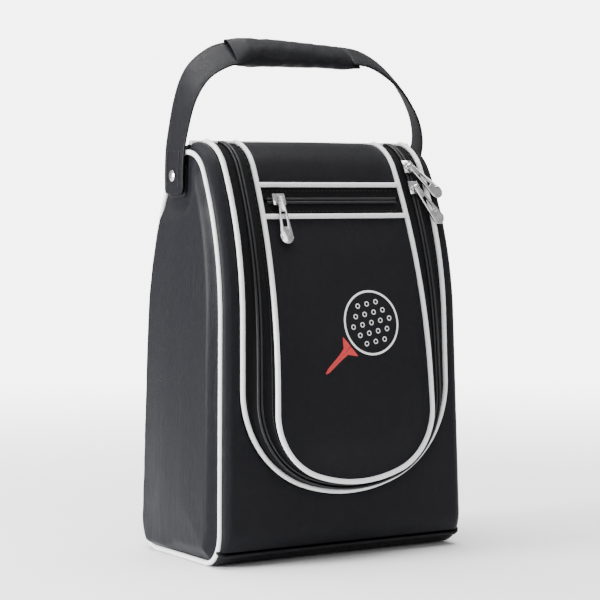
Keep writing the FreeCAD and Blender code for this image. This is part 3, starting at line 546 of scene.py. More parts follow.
def wear_group():
    """Handling marks: a dust mask from two noises, used to vary roughness and to lighten a little."""
    group, entry, leave = node_group("handling", [("Amount", "NodeSocketFloat", 0.3)],
                                     [("Mask", "NodeSocketFloat")])
    coords = group.nodes.new("ShaderNodeTexCoord").outputs["Object"]
    broad = noise(group, coords, 60.0, 5.0, 0.65)
    fine = noise(group, coords, 700.0, 3.0, 0.6)
    mask = math_node(group, "MULTIPLY", broad, fine)
    group.links.new(math_node(group, "MULTIPLY", mask, entry.outputs["Amount"]), leave.inputs["Mask"])
    return group


GROUPS = {}


def group_node(tree, name, **values):
    """One of the shader groups in a material, with the material's own values on its inputs."""
    node = tree.nodes.new("ShaderNodeGroup")
    node.node_tree = GROUPS[name]
    for label, value in values.items():
        node.inputs[label.replace("_", " ")].default_value = value
    return node


def start_material(name, roughness, **constants):
    """A material with its Principled shader, whose constants are set on its own sockets."""
    material = bpy.data.materials.new(name)
    material.use_nodes = True
    tree = material.node_tree
    shader = next(node for node in tree.nodes if node.type == "BSDF_PRINCIPLED")
    shader.inputs["Roughness"].default_value = roughness
    for label, value in constants.items():
        shader.inputs[label.replace("_", " ")].default_value = value
    return material, tree, shader


def ramp(tree, factor, low, high, start=0.0, end=1.0):
    """A colour that runs from low to high as the factor does."""
    node = tree.nodes.new("ShaderNodeValToRGB")
    node.color_ramp.elements[0].position = start
    node.color_ramp.elements[0].color = (*low, 1.0)
    node.color_ramp.elements[1].position = end
    node.color_ramp.elements[1].color = (*high, 1.0)
    tree.links.new(factor, node.inputs["Fac"])
    return node.outputs["Color"]


def spread(tree, factor, low, high):
    """A value that runs from low to high as the factor runs from 0 to 1."""
    node = tree.nodes.new("ShaderNodeMapRange")
    node.inputs["To Min"].default_value = low
    node.inputs["To Max"].default_value = high
    tree.links.new(factor, node.inputs["Value"])
    return node.outputs["Result"]


def bump(tree, shader, height, distance, strength=1.0):
    """Raises the surface by a height, at most the distance in metres, through the shader's normal."""
    node = tree.nodes.new("ShaderNodeBump")
    node.inputs["Distance"].default_value = distance
    node.inputs["Strength"].default_value = strength
    tree.links.new(height, node.inputs["Height"])
    tree.links.new(node.outputs["Normal"], shader.inputs["Normal"])


def leather_material(name, black, low, high, gloss, cells, depth, coat, stretch):
    """Coated leathercloth: a bump of grain and creases, a mottle in colour, and a gloss that the mottle, the
    handling dust and the cloud of the creases vary about its given roughness."""
    material, tree, shader = start_material(name, gloss, Coat_Weight=coat, Coat_Roughness=0.3,
                                            Specular_IOR_Level=LEATHER_SPECULAR)
    grain = group_node(tree, "leather_grain", Cells_per_metre=cells)
    dust = group_node(tree, "handling", Amount=0.5)
    colour = ramp(tree, grain.outputs["Mottle"], tuple(black * low), tuple(black * high), 0.35, 1.1)
    tree.links.new(colour, shader.inputs["Base Color"])
    creases = group_node(tree, "panel_creases", Stretch=stretch)
    mottle = math_node(tree, "MULTIPLY", grain.outputs["Mottle"], 0.3)
    total = math_node(tree, "ADD", mottle, dust.outputs["Mask"])
    total = math_node(tree, "ADD", total, math_node(tree, "MULTIPLY", creases.outputs["Cloud"], 0.9))
    tree.links.new(spread(tree, total, gloss - 0.16, gloss + 0.1), shader.inputs["Roughness"])
    furrows = math_node(tree, "MULTIPLY", creases.outputs["Height"], 0.8)
    bump(tree, shader, math_node(tree, "ADD", grain.outputs["Height"], furrows), depth, 0.7)
    return material


def piping_material(name, low, high, gloss, specular=0.5):
    """Smooth coated cord cover: very fine grain, and faint soiling."""
    material, tree, shader = start_material(name, gloss, Specular_IOR_Level=specular)
    grain = group_node(tree, "leather_grain", Cells_per_metre=2200.0)
    dust = group_node(tree, "handling", Amount=1.0)
    tree.links.new(ramp(tree, dust.outputs["Mask"], high, low, 0.1, 0.75), shader.inputs["Base Color"])
    tree.links.new(spread(tree, dust.outputs["Mask"], gloss - 0.04, gloss + 0.2), shader.inputs["Roughness"])
    bump(tree, shader, grain.outputs["Height"], 0.00008, 0.4)
    return material


def tape_material():
    """Woven black zip tape, with painted shade: its colour follows the weave's height, darker in the hollows
    between the ribs and lighter on the ribs.
    """
    material, tree, shader = start_material("zip_tape", 0.85, Sheen_Weight=0.02, Sheen_Roughness=0.5,
                                            Specular_IOR_Level=0.1)
    weave = group_node(tree, "tape_weave", Threads_per_metre=1300.0)
    # painted shade: the colour comes from the same weave height as the bump, darker in the hollows and
    # lighter on the ribs
    painted_weave_shade = spread(tree, weave.outputs["Height"], 0.35, 0.75)
    colour = ramp(tree, painted_weave_shade, (0.002, 0.002, 0.0025), (0.007, 0.007, 0.008))
    tree.links.new(colour, shader.inputs["Base Color"])
    bump(tree, shader, weave.outputs["Height"], 0.00012, 0.8)
    return material


def lining_material():
    """Plain woven lining cloth."""
    material, tree, shader = start_material("lining_cloth", 0.78, Sheen_Weight=0.08)
    weave = group_node(tree, "lining_weave", Threads_per_metre=900.0)
    dust = group_node(tree, "handling", Amount=0.6)
    tree.links.new(ramp(tree, dust.outputs["Mask"], (0.014, 0.014, 0.016), (0.035, 0.035, 0.038)),
                   shader.inputs["Base Color"])
    bump(tree, shader, weave.outputs["Height"], 0.0001, 0.7)
    return material


def thread_material(name, colour, roughness=0.6):
    """Twisted sewing thread or nylon: a fine noise that varies its colour and its bump."""
    material, tree, shader = start_material(name, roughness, Specular_IOR_Level=0.3)
    coords = tree.nodes.new("ShaderNodeTexCoord").outputs["Object"]
    fine = noise(tree, coords, 1800.0, 2.0)
    low, high = (tuple(share * part for part in colour) for share in (0.75, 1.3))
    tree.links.new(ramp(tree, fine, low, high, 0.3, 0.7), shader.inputs["Base Color"])
    bump(tree, shader, fine, 0.0001, 0.5)
    return material


def nickel_material():
    """Bright nickel plate on cast zinc: clouded gloss and faint rubbing marks."""
    material, tree, shader = start_material("nickel_plate", 0.24, Metallic=1.0)
    coords = tree.nodes.new("ShaderNodeTexCoord").outputs["Object"]
    cloud = noise(tree, coords, 220.0, 4.0)
    dust = group_node(tree, "handling", Amount=0.8)
    colour = ramp(tree, cloud, (0.5, 0.5, 0.51), (0.8, 0.8, 0.79), 0.25, 0.75)
    tree.links.new(colour, shader.inputs["Base Color"])
    tree.links.new(spread(tree, dust.outputs["Mask"], 0.16, 0.42), shader.inputs["Roughness"])
    bump(tree, shader, cloud, 0.00015, 0.5)
    return material


MATERIALS = {}


def make_materials(props):
    """All finishes, from the colours of the property group."""
    GROUPS.update(leather_grain=grain_group(), tape_weave=weave_group(), lining_weave=plain_weave_group(),
                  handling=wear_group(), panel_creases=crease_group())
    black = np.array(props.leather_colour)
    MATERIALS.update(
        leather=leather_material("leathercloth", black, 0.75, 1.5, 0.40, 1300.0, 0.00022, 0.03, 3.0),
        side=leather_material("side_leathercloth", black, 0.9, 1.9, 0.40, 1100.0, 0.0003, 0.06, 8.0),
        strap=leather_material("strap_leathercloth", black, 0.7, 1.5, 0.36, 1500.0, 0.0002, 0.06, 2.0),
        piping=piping_material("white_piping", (0.56, 0.56, 0.56), tuple(props.piping_colour), 0.36),
        welt=piping_material("black_welt", (0.006, 0.006, 0.007), (0.004, 0.004, 0.005), 0.4,
                             LEATHER_SPECULAR),
        tape=tape_material(),
        coil=thread_material("nylon_coil", (0.007, 0.007, 0.009), 0.36),
        thread=thread_material("black_thread", (0.008, 0.008, 0.009), 0.45),
        lining=lining_material(),
        nickel=nickel_material(),
        foam=thread_material("edge_foam", (0.02, 0.02, 0.022), 0.8),
        motif_white=piping_material("motif_white", (0.6, 0.6, 0.58), (0.82, 0.82, 0.8), 0.45),
        motif_red=piping_material("motif_red", (0.3, 0.01, 0.012), (0.55, 0.018, 0.02), 0.45),
    )


# ---------------------------------------------------------------- shapes of the bag

SEAM_LEVEL = 9.5 * MM                          # the foot seam runs low round the foot arc
WELT_WAY = BODY.wall_way + FOOT_RADIUS * (math.acos(SEAM_LEVEL / FOOT_RADIUS - 1) - BODY.last)
FLOOR_WAY = BODY.foot_way + BODY.foot_middle
LOOP_LOW = 2.2 * MM                            # height of the side piping's middle along the floor


def side_inset(way):
    """How far the side piping runs behind the front, under and back faces: 8 mm, less round the foot."""
    near_foot = smooth((np.abs(way) - BODY.wall_way) / (BODY.foot_way - BODY.wall_way))
    return WRAP + (LOOP_LOW - WRAP) * near_foot


def loop_point(way, inset):
    """A point of the side view on the way down the front, under the bag and up the back, at an inset."""
    way = np.asarray(way, float)
    depth, level = BODY.point(np.minimum(way, 2 * FLOOR_WAY - way), -np.asarray(inset), foot=True)
    return np.where(way <= FLOOR_WAY, -depth, depth), level


def wrapped(share, way, lift=0.0):
    """Front, bottom or back leathercloth.  share runs from -1 to 1 between the two side pipings: flat across
    the bag and then a quarter circle round each side edge, whose radius is the piping's inset there."""
    share, way = np.broadcast_arrays(np.asarray(share, float), np.asarray(way, float))
    radius = side_inset(np.minimum(way, 2 * FLOOR_WAY - way))
    _, level = loop_point(way, 0.0)
    flat = half_width(level) - radius
    reach = np.abs(share) * (flat + radius * math.pi / 2)
    turn = np.clip((reach - flat) / radius, 0, math.pi / 2)
    across = np.minimum(reach, flat) + (radius + lift) * np.sin(turn)
    inset = radius - (radius + lift) * np.cos(turn)
    y, z = loop_point(way, inset)
    return np.stack([np.sign(share) * across, y, z], axis=-1)


def share_of(across, way):
    """The share, for wrapped, of a point at a distance across the flat of the front."""
    radius = side_inset(way)
    _, level = loop_point(way, 0.0)
    return across / (half_width(level) - radius + radius * math.pi / 2)


def inner_edge():
    """Right half of the edge of the flap: its distances across and its ways down."""
    points, way = u_curve("inner", FLAP, start=1 * MM, count=801)
    return points[:401, 0], way[:401]


EDGE_ACROSS, EDGE_WAY = inner_edge()
POCKET_UPPER = float(FLAP.way_at(POCKET_LINE + POCKET_HALF))
POCKET_LOWER = float(FLAP.way_at(POCKET_LINE - POCKET_HALF))


def edge_gap(across, way):
    """Distance from a point of the flap to its U edge, and to the nearer of that edge and the two pocket
    pipings, for a point above or below the pocket zip."""
    spots = even(np.stack([EDGE_ACROSS, EDGE_WAY], axis=1), 260)
    shape = across.shape
    flat = np.abs(across).ravel()[:, None] - spots[None, :, 0]
    down = way.ravel()[:, None] - spots[None, :, 1]
    gap = np.sqrt((flat ** 2 + down ** 2).min(axis=1)).reshape(shape)
    pocket = np.minimum(np.abs(way - POCKET_UPPER), np.abs(way - POCKET_LOWER))
    beside_pocket = (way < POCKET_UPPER + 1e-6) | (way > POCKET_LOWER - 1e-6)
    return gap, np.where(beside_pocket, np.minimum(gap, pocket), gap)


def flap_point(across, way, lift=0.0):
    """A point of the flap: its face is full over the pocket, by up to the flap fullness, falls evenly to
    the pipings, and turns in sharply over the last 2 mm beside them."""
    across, way = np.broadcast_arrays(np.asarray(across, float), np.asarray(way, float))
    _, gap = edge_gap(across, way)
    full = bpy.context.scene.shoe_bag.flap_fullness
    below = way > POCKET_LOWER - 1e-6
    puff = np.where(below, full * smooth(gap / (34 * MM)), 0.25 * full * smooth(gap / (12 * MM)))
    ripple = 0.35 * MM * soft(across, way, 60 * MM, 11) * smooth(gap / (10 * MM))
    tuck = 1.5 * MM * np.exp(-gap / (1.1 * MM))
    depth, level = FLAP.point(way, puff + ripple - tuck + lift)
    return np.stack([across, -depth, level], axis=-1)


def closer_at_ends(count, share):
    """Places from -1 to 1 that lie closer together at both ends, a share by a sine and the rest evenly."""
    places = np.linspace(-1, 1, count)
    return share * np.sin(places * math.pi / 2) + (1 - share) * places


def flap_rows(first, last, rows, columns):
    """Grid over the flap between two ways: each row is level and runs from edge to edge."""
    fine = 1200
    spots = even(np.stack([EDGE_ACROSS, EDGE_WAY], axis=1), fine)
    share = np.interp([first, last], spots[:, 1], np.linspace(0, 1, fine))
    wanted = np.linspace(share[0], share[1], rows) * (fine - 1)
    across, way = (np.interp(wanted, np.arange(fine), spots[:, k]) for k in (0, 1))
    return closer_at_ends(columns, 0.5)[None, :] * across[:, None], np.repeat(way[:, None], columns, axis=1)


# ---------------------------------------------------------------- properties

class ShoeBagProperties(bpy.types.PropertyGroup):
    """Colours and sizes that a user would change."""
    leather_colour: bpy.props.FloatVectorProperty(
        name="Leathercloth", description="Colour of the leathercloth", subtype="COLOR", size=3,
        min=0.0, max=1.0, default=(0.0017, 0.0017, 0.003))
    piping_colour: bpy.props.FloatVectorProperty(
        name="Piping", description="Colour of the corded piping", subtype="COLOR", size=3,
        min=0.0, max=1.0, default=(0.82, 0.82, 0.83))
    side_fullness: bpy.props.FloatProperty(
        name="Side fullness", description="How far the side panels swell", unit="LENGTH",
        default=9 * MM, min=0.0, max=10 * MM)
    back_fullness: bpy.props.FloatProperty(
        name="Back fullness", description="How far the back panel swells", unit="LENGTH",
        default=2.5 * MM, min=0.0, max=6 * MM)
    flap_fullness: bpy.props.FloatProperty(
        name="Flap fullness", description="How far the pocket face swells", unit="LENGTH",
        default=2.6 * MM, min=0.0, max=6 * MM)
    coil_pitch: bpy.props.FloatProperty(
        name="Coil pitch", description="Turns of the zip coil lie this far apart", unit="LENGTH",
        default=1.5 * MM, min=0.8 * MM, max=3 * MM)
    stitch_pitch: bpy.props.FloatProperty(
        name="Stitch pitch", description="Stitches lie this far apart", unit="LENGTH",
        default=3.6 * MM, min=2 * MM, max=6 * MM)
    ball_radius: bpy.props.FloatProperty(
        name="Motif ball", description="Radius of the printed ball outline", unit="LENGTH",
        default=25 * MM, min=8 * MM, max=30 * MM)


# ---------------------------------------------------------------- pieces

def lined(piece, thickness, body, material, node):
    """A wall with leathercloth outside and lining inside."""
    finish_piece(piece, body, "leathercloth", material, node)
    piece.data.materials.append(MATERIALS["lining"])
    wall = thicken(piece, thickness).modifiers["thickness"]
    wall.material_offset = 1
    return piece


class ShoeBagFrontSurround(bpy.types.Operator):
    """Front leathercloth around the zip.  Each column starts at the outer U seam and ends at the side piping
    or, along the bottom, at the foot welt; one column meets the corner between them."""
    bl_idname = "shoe_bag.front_surround"
    bl_label = "Front surround"

    def execute(self, context):
        half = 300                                     # columns on each side of the middle one
        curve, way = u_curve("outer", BODY, start=2 * MM, grow=1.2 * MM, count=2 * half + 1)
        right_x, right_way = curve[:half + 1, 0], way[:half + 1]
        rise_to_corner, level_columns = 0.42, 0.62     # columns above this share of the leg stay level
        turn = np.argmin(np.abs((right_way[-1] - right_way) - rise_to_corner * right_x))
        side_end = right_way[:turn + 1]
        leg = np.argmax(right_way > level_columns * side_end[-1])
        down = np.concatenate([side_end[:leg], side_end[leg] + (WELT_WAY - side_end[leg])
                               * (side_end[leg:] - side_end[leg]) / (side_end[-1] - side_end[leg])])
        outer_way = mirrored(np.concatenate([down, np.full(half - turn, WELT_WAY)]))
        outer_share = mirrored(np.concatenate([np.ones(turn + 1), right_x[turn + 1:] / right_x[turn]]), -1)
        inner_way = mirrored(right_way)
        inner_share = mirrored(share_of(right_x, right_way), -1)
        row = np.linspace(0, 1, 26)[:, None]
        share = inner_share + (outer_share - inner_share) * row
        way = inner_way + (outer_way - inner_way) * row
        gap = row * 22 * MM
        tuck = 1.3 * MM * np.exp(-gap / (1.2 * MM))
        slow = 0.3 * MM * soft(share * 100 * MM, way, 70 * MM, 5) * row * (1 - row)
        piece = grid_piece("front_surround", wrapped(share, way, slow - tuck))
        lined(piece, WALL, "bag", MATERIALS["leather"], "front_panel")
        return {"FINISHED"}


class ShoeBagBackAndBottom(bpy.types.Operator):
    """Back and bottom leathercloth: whole sheets from side piping to side piping.  The back swells by the
    back fullness times (1 - across^4) and a soft rise and fall from the crown to the welt."""
    bl_idname = "shoe_bag.back_and_bottom"
    bl_label = "Back and bottom"

    def execute(self, context):
        share = np.linspace(-1, 1, 121)[None, :]
        way = np.linspace(2 * FLOOR_WAY - WELT_WAY - 1 * MM, 2 * FLOOR_WAY - 1.5 * MM, 150)[:, None]
        from_top = (2 * FLOOR_WAY - way) / WELT_WAY
        swell = (context.scene.shoe_bag.back_fullness * (1 - share ** 4) * smooth(from_top / 0.45)
                 * smooth((1 - from_top) / 0.25))
        slow = 0.5 * MM * soft(share * 100 * MM, way, 90 * MM, 3) * smooth((1 - np.abs(share)) / 0.15)
        back = grid_piece("back_leathercloth", wrapped(share, way, swell + slow))
        lined(back, WALL, "bag", MATERIALS["leather"], "back_panel")
        way = np.linspace(WELT_WAY + 1 * MM, 2 * FLOOR_WAY - WELT_WAY - 1 * MM, 110)[:, None]
        bottom = grid_piece("bottom_leathercloth", wrapped(share, way))
        lined(bottom, WALL, "bag", MATERIALS["leather"], "bottom_panel")
        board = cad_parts["base_board"]
        board.data.materials.clear()
        board.data.materials.append(MATERIALS["lining"])
        return {"FINISHED"}


class ShoeBagSides(bpy.types.Operator):
    """Side panels: level rows between the front and back of the side piping loop.  Each swells by the side
    fullness, most of it close to the seam, soonest along the back, less towards the crown and not at all
    under the sewn strap end, with shallow puckers beside the seam."""
    bl_idname = "shoe_bag.sides"
    bl_label = "Side panels"

    def execute(self, context):
        full = context.scene.shoe_bag.side_fullness
        way = np.linspace(0.6 * MM, FLOOR_WAY - 0.6 * MM, 190)
        y, z = loop_point(way, side_inset(way) + 0.6 * MM)
        order = np.argsort(z)
        y, z = np.abs(y[order]), z[order]
        across = closer_at_ends(121, 0.6)[None, :]
        rows_y = y[:, None] * across
        rows_z = z[:, None] + 0 * across
        height = rows_z / BODY_HEIGHT
        edge = np.minimum((1 - np.abs(across)) * y[:, None], np.minimum(rows_z - z[0], z[-1] - rows_z))
        reach = (13 - 6.5 * smooth(across / 0.5)) * MM
        rim = smooth(edge / reach) * 0.75 + smooth(edge / (48 * MM)) * 0.25
        beside = np.maximum(np.abs(rows_y - STRAP_BACK) - STRAP_HALF, 0)
        sewn = np.hypot(beside, np.maximum(STRAP_SEWN - rows_z, 0))
        less_above = 1 - 0.35 * smooth((height - 0.45) / 0.55)
        swell = full * rim * less_above * smooth((sewn - 1.5 * MM) / (17 * MM))
        pucker = 0.5 * MM * np.exp(-edge / (9 * MM)) * soft(rows_z, 0 * rows_z, 26 * MM, 8)
        tuck = 1.2 * MM * np.exp(-edge / (1.3 * MM))
        for name, side, seed in (("left", -1, 21), ("right", 1, 22)):
            slow = 0.7 * MM * soft(rows_y, rows_z * 0.6, 95 * MM, seed) * smooth(edge / (20 * MM))
            x = side * (half_width(rows_z) - 0.3 * MM + swell + pucker + slow - tuck)
            piece = grid_piece(f"side_leathercloth_{name}", np.stack([x, rows_y, rows_z], axis=-1))
            lined(piece, WALL, "bag", MATERIALS["side"], f"side_panel_{name}")
        return {"FINISHED"}


def wavy(path, seed):
    """Radius of a sewn cord along its path, as a share: it varies softly by a few percent."""
    run = np.linspace(0, len(path) * 0.7 * MM, len(path))
    broad, short = soft(run, 0 * run, 9 * MM, seed), soft(run, 0 * run, 3.5 * MM, seed + 1)
    return 1 + PIPING_RIPPLE * broad + 0.5 * PIPING_RIPPLE * short


def white_cord(name, path, seed, body, node, closed=False):
    """A corded white piping along a seam."""
    cord = cord_piece(name, path, PIPING_RADIUS, closed=closed, ripple=wavy(path, seed))
    return finish_piece(cord, body, "white_piping", MATERIALS["piping"], node)


class ShoeBagPipings(bpy.types.Operator):
    """Corded pipings and welts: round cords along the seams, whose radius varies by a few percent."""
    bl_idname = "shoe_bag.pipings"
    bl_label = "Pipings"

    def execute(self, context):
        way = np.linspace(0, 2 * FLOOR_WAY, 2000)
        y, z = loop_point(way, side_inset(np.minimum(way, 2 * FLOOR_WAY - way)))
        for name, side in (("left", -1), ("right", 1)):
            loop = np.stack([side * (half_width(z) - 0.2 * MM), y, z], axis=1)
            loop = even(loop, 1100)[:-1]
            white_cord(f"side_cord_{name}", loop, 31 + side, "bag", f"side_piping_{name}", closed=True)
        across = np.linspace(-101, 101, 240) * MM
        path = np.stack([across, 0 * across, 0 * across + 319.2 * MM], axis=1)
        white_cord("crown_cord", path, 40, "bag", "crown_piping")
        path, _ = u_curve("outer", BODY, lift=0.7 * MM, count=900)
        white_cord("surround_cord", path, 41, "bag", "main_piping")
        path, _ = u_curve("inner", FLAP, lift=0.3 * MM, count=800)
        white_cord("flap_cord", path, 42, "flap", "flap_piping")
        share = np.linspace(-0.995, 0.995, 360)
        for name, way in (("front", WELT_WAY), ("back", 2 * FLOOR_WAY - WELT_WAY)):
            path = even(wrapped(share, way + 0 * share, 0.4 * MM), 320)
            welt = cord_piece(f"foot_cord_{name}", path, WELT_RADIUS, ripple=wavy(path, 43))
            finish_piece(welt, "bag", "black_welt", MATERIALS["welt"], f"foot_welt_{name}")
        return {"FINISHED"}


def ribbon_between(name, first, last, columns=9, sag=0.0):
    """A tape between two curves, a straight line across with a slight hollow; its UV map is in metres."""
    share = np.linspace(0, 1, columns)[None, :, None]
    points = first[:, None] * (1 - share) + last[:, None] * share
    normal = unit(np.cross(np.gradient(points, axis=0), np.gradient(points, axis=1)))
    normal *= np.sign((normal * (points - INSIDE)).sum())
    points = points - normal * (sag * 4 * share * (1 - share))
    run = run_along(points[:, columns // 2])
    width = np.linalg.norm(last - first, axis=1).mean()
    uv = np.stack(np.broadcast_arrays(run[:, None], np.linspace(0, width, columns)[None, :]), axis=-1)
    return grid_piece(name, points, uv=uv)


def coil_row(name, path, pitch, shift):
    """Half of a zip coil: a thick thread whose radius swells once for every turn of the coil."""
    length = run_along(path)[-1]
    path = even(path, int(length / pitch * 5))
    turns = np.linspace(0, length, len(path)) / pitch
    return cord_piece(name, path, COIL_RADIUS, around=8,
                      ripple=0.86 + 0.26 * np.abs(np.sin(turns * math.pi + shift)))


def seam_stitches(name, curve, body):
    """Topstitches along a curve, their outward direction away from the middle of the bag."""
    piece = stitch_line(name, curve, unit(curve - INSIDE), pitch=bpy.context.scene.shoe_bag.stitch_pitch)
    return finish_piece(piece, body, "zip_tape", MATERIALS["thread"])


class ShoeBagMainZip(bpy.types.Operator):
    """The two tapes of the main zip, from each U seam to the coil, the two halves of the coil, and a row of
    topstitches beside each seam."""
    bl_idname = "shoe_bag.main_zip"
    bl_label = "Main zip"

    def execute(self, context):
        pitch = context.scene.shoe_bag.coil_pitch
        for name, body, seam_line, side, seam_lift, shift in (
                ("outer", "bag", BODY, 1, -0.6 * MM, 0), ("inner", "flap", FLAP, -1, -0.9 * MM, COIL_SHIFT)):
            edge, _ = u_curve(name, seam_line, lift=seam_lift, count=520)
            near, _ = u_curve("middle", COIL, grow=side * 1.3 * MM, lift=-0.4 * MM, count=520)
            first, last = (edge, near) if side > 0 else (near, edge)
            tape = ribbon_between(f"tape_{name}", first, last, sag=0.5 * MM)
            thicken(tape, TAPE_WALL)
            finish_piece(tape, body, "zip_tape", MATERIALS["tape"], f"zip_tape_{name}")
            row, _ = u_curve("middle", COIL, grow=side * 1.45 * MM, lift=0.25 * MM, count=900)
            coil = coil_row(f"coil_{name}", row, pitch, shift)
            finish_piece(coil, body, "zip_coil", MATERIALS["coil"], f"zip_coil_{name}")
            seam_stitches(f"seam_stitches_{name}", edge * 0.7 + near * 0.3, body)
        return {"FINISHED"}


class ShoeBagFlap(bpy.types.Operator):
    """Top panel, pocket face and lining of the flap.  Rows are level.  The lining lies behind the pocket and
    rises to the seam over its last 10 mm."""
    bl_idname = "shoe_bag.flap"
    bl_label = "Flap"

    def execute(self, context):
        last = float(EDGE_WAY[-1])
        across, way = flap_rows(FLAP_START, POCKET_UPPER - 0.5 * MM, 40, 81)
        top = grid_piece("flap_top_face", flap_point(across, way))
        lined(top, FLAP_WALL, "flap", MATERIALS["leather"], "flap_top_panel")
        across, way = flap_rows(POCKET_LOWER + 0.5 * MM, last - 0.05 * MM, 190, 101)
        face = grid_piece("flap_pocket_face", flap_point(across * 0.995, way))
        lined(face, FLAP_WALL, "flap", MATERIALS["leather"], "flap_pocket_panel")
        across, way = flap_rows(FLAP_START, last - 0.05 * MM, 170, 81)
        gap, _ = edge_gap(across, way)
        down = 1.9 * MM + 7 * MM * smooth(gap / (10 * MM)) * smooth((way - 12 * MM) / (25 * MM))
        depth, level = FLAP.point(way, -down)
        lining = grid_piece("flap_inner_lining", np.stack([across * 0.99, -depth, level], axis=-1))
        thicken(lining, LINING_WALL)
        finish_piece(lining, "flap", "lining", MATERIALS["lining"], "flap_lining")
        return {"FINISHED"}


def level_line(half, way, lift, count=200):
    """A level line over the face of the flap, half its length to each side, at a way down it."""
    across = np.linspace(-half, half, count)
    depth, level = FLAP.point(way + 0 * across, lift)
    return np.stack([across, -depth, level], axis=1)


def flap_half(way):
    """Half the width of the flap at a way down it."""
    return float(np.interp(way, EDGE_WAY, EDGE_ACROSS))


class ShoeBagPocketZip(bpy.types.Operator):
    """Zip of the flap pocket: two level cords, a tape from each to the coil, the coil and its topstitches."""
    bl_idname = "shoe_bag.pocket_zip"
    bl_label = "Pocket zip"

    def execute(self, context):
        pitch = context.scene.shoe_bag.coil_pitch
        middle = float(FLAP.way_at(POCKET_LINE))
        for name, seam, side, shift in (("upper", POCKET_UPPER, -1, 0),
                                        ("lower", POCKET_LOWER, 1, COIL_SHIFT)):
            path = level_line(flap_half(seam) - 1.6 * MM, seam, 0.6 * MM)
            white_cord(f"pocket_cord_{name}", path, 50 + side, "flap", f"pocket_piping_{name}")
            near = middle + side * 1.2 * MM
            edges = (level_line(flap_half(seam) - 1.2 * MM, seam, -0.8 * MM),
                     level_line(flap_half(near) - 1.2 * MM, near, -0.9 * MM))
            tape = ribbon_between(f"pocket_tape_band_{name}", *edges, columns=7)
            thicken(tape, TAPE_WALL)
            finish_piece(tape, "flap", "zip_tape", MATERIALS["tape"], f"pocket_tape_{name}")
            row = level_line(59 * MM, middle + side * 1.35 * MM, -0.1 * MM, 300)
            coil = coil_row(f"pocket_coil_row_{name}", row, pitch, shift)
            finish_piece(coil, "flap", "zip_coil", MATERIALS["coil"], f"pocket_coil_{name}")
            inside_ends = slice(12, -12)
            line = edges[0][inside_ends] * 0.62 + edges[1][inside_ends] * 0.38
            seam_stitches(f"pocket_stitches_{name}", line, "flap")
        return {"FINISHED"}


# ---------------------------------------------------------------- handle

def strap_line(side):
    """Middle line of a strap in the front view, from its round lower end to the inside of the grip, and its
    twist along the way.  The left strap lies close to the bag; the right one bows out above its rivet."""
    if side < 0:
        spots = [(107.4, 279.8), (107.4, 296), (106.4, 314), (103.4, 331), (98.6, 350), (91.5, 366),
                 (82, 377.5), (66, 387), (51, 390.4)]
        twist = [0, 0, 0.02, 0.05, 0.12, 0.28, 0.46, 0.62, 0.7]
    else:
        spots = [(107.6, 279.8), (108, 291), (111.5, 301), (118, 312), (121, 325), (118.5, 340),
                 (111.5, 354), (100, 369), (85, 381), (68, 389), (51, 391.4)]
        twist = [0, 0, 0.08, 0.22, 0.33, 0.38, 0.42, 0.48, 0.54, 0.55, 0.55]
    line = curve_through(np.hstack([np.array(spots) * MM, np.array(twist)[:, None]]), 150)
    line[:, 0] *= side
    return line


def strap_frame(line):
    """For each point of a strap line: its place, and unit vectors across the strap and out of its face."""
    spot = np.stack([line[:, 0], np.full(len(line), STRAP_BACK), line[:, 1]], axis=1)
    along = unit(np.gradient(spot, axis=0))
    level_out = np.stack([along[:, 2], 0 * along[:, 0], -along[:, 0]], axis=1) * np.sign(line[0, 0])
    twist = line[:, 2:3]
    across = np.cos(twist) * np.array([[0.0, 1.0, 0.0]]) + np.sin(twist) * level_out
    out = np.cos(twist) * level_out - np.sin(twist) * np.array([[0.0, 1.0, 0.0]])
    return spot, across, out


def strap_width(run):
    """Half width of a strap along its line: a square end with round corners, then even."""
    short = np.clip(1 - run / (5 * MM), 0, 1)
    return STRAP_HALF * (0.66 + 0.34 * np.sqrt(1 - short ** 2)) * np.sqrt(np.minimum(1, run / (0.5 * MM)))


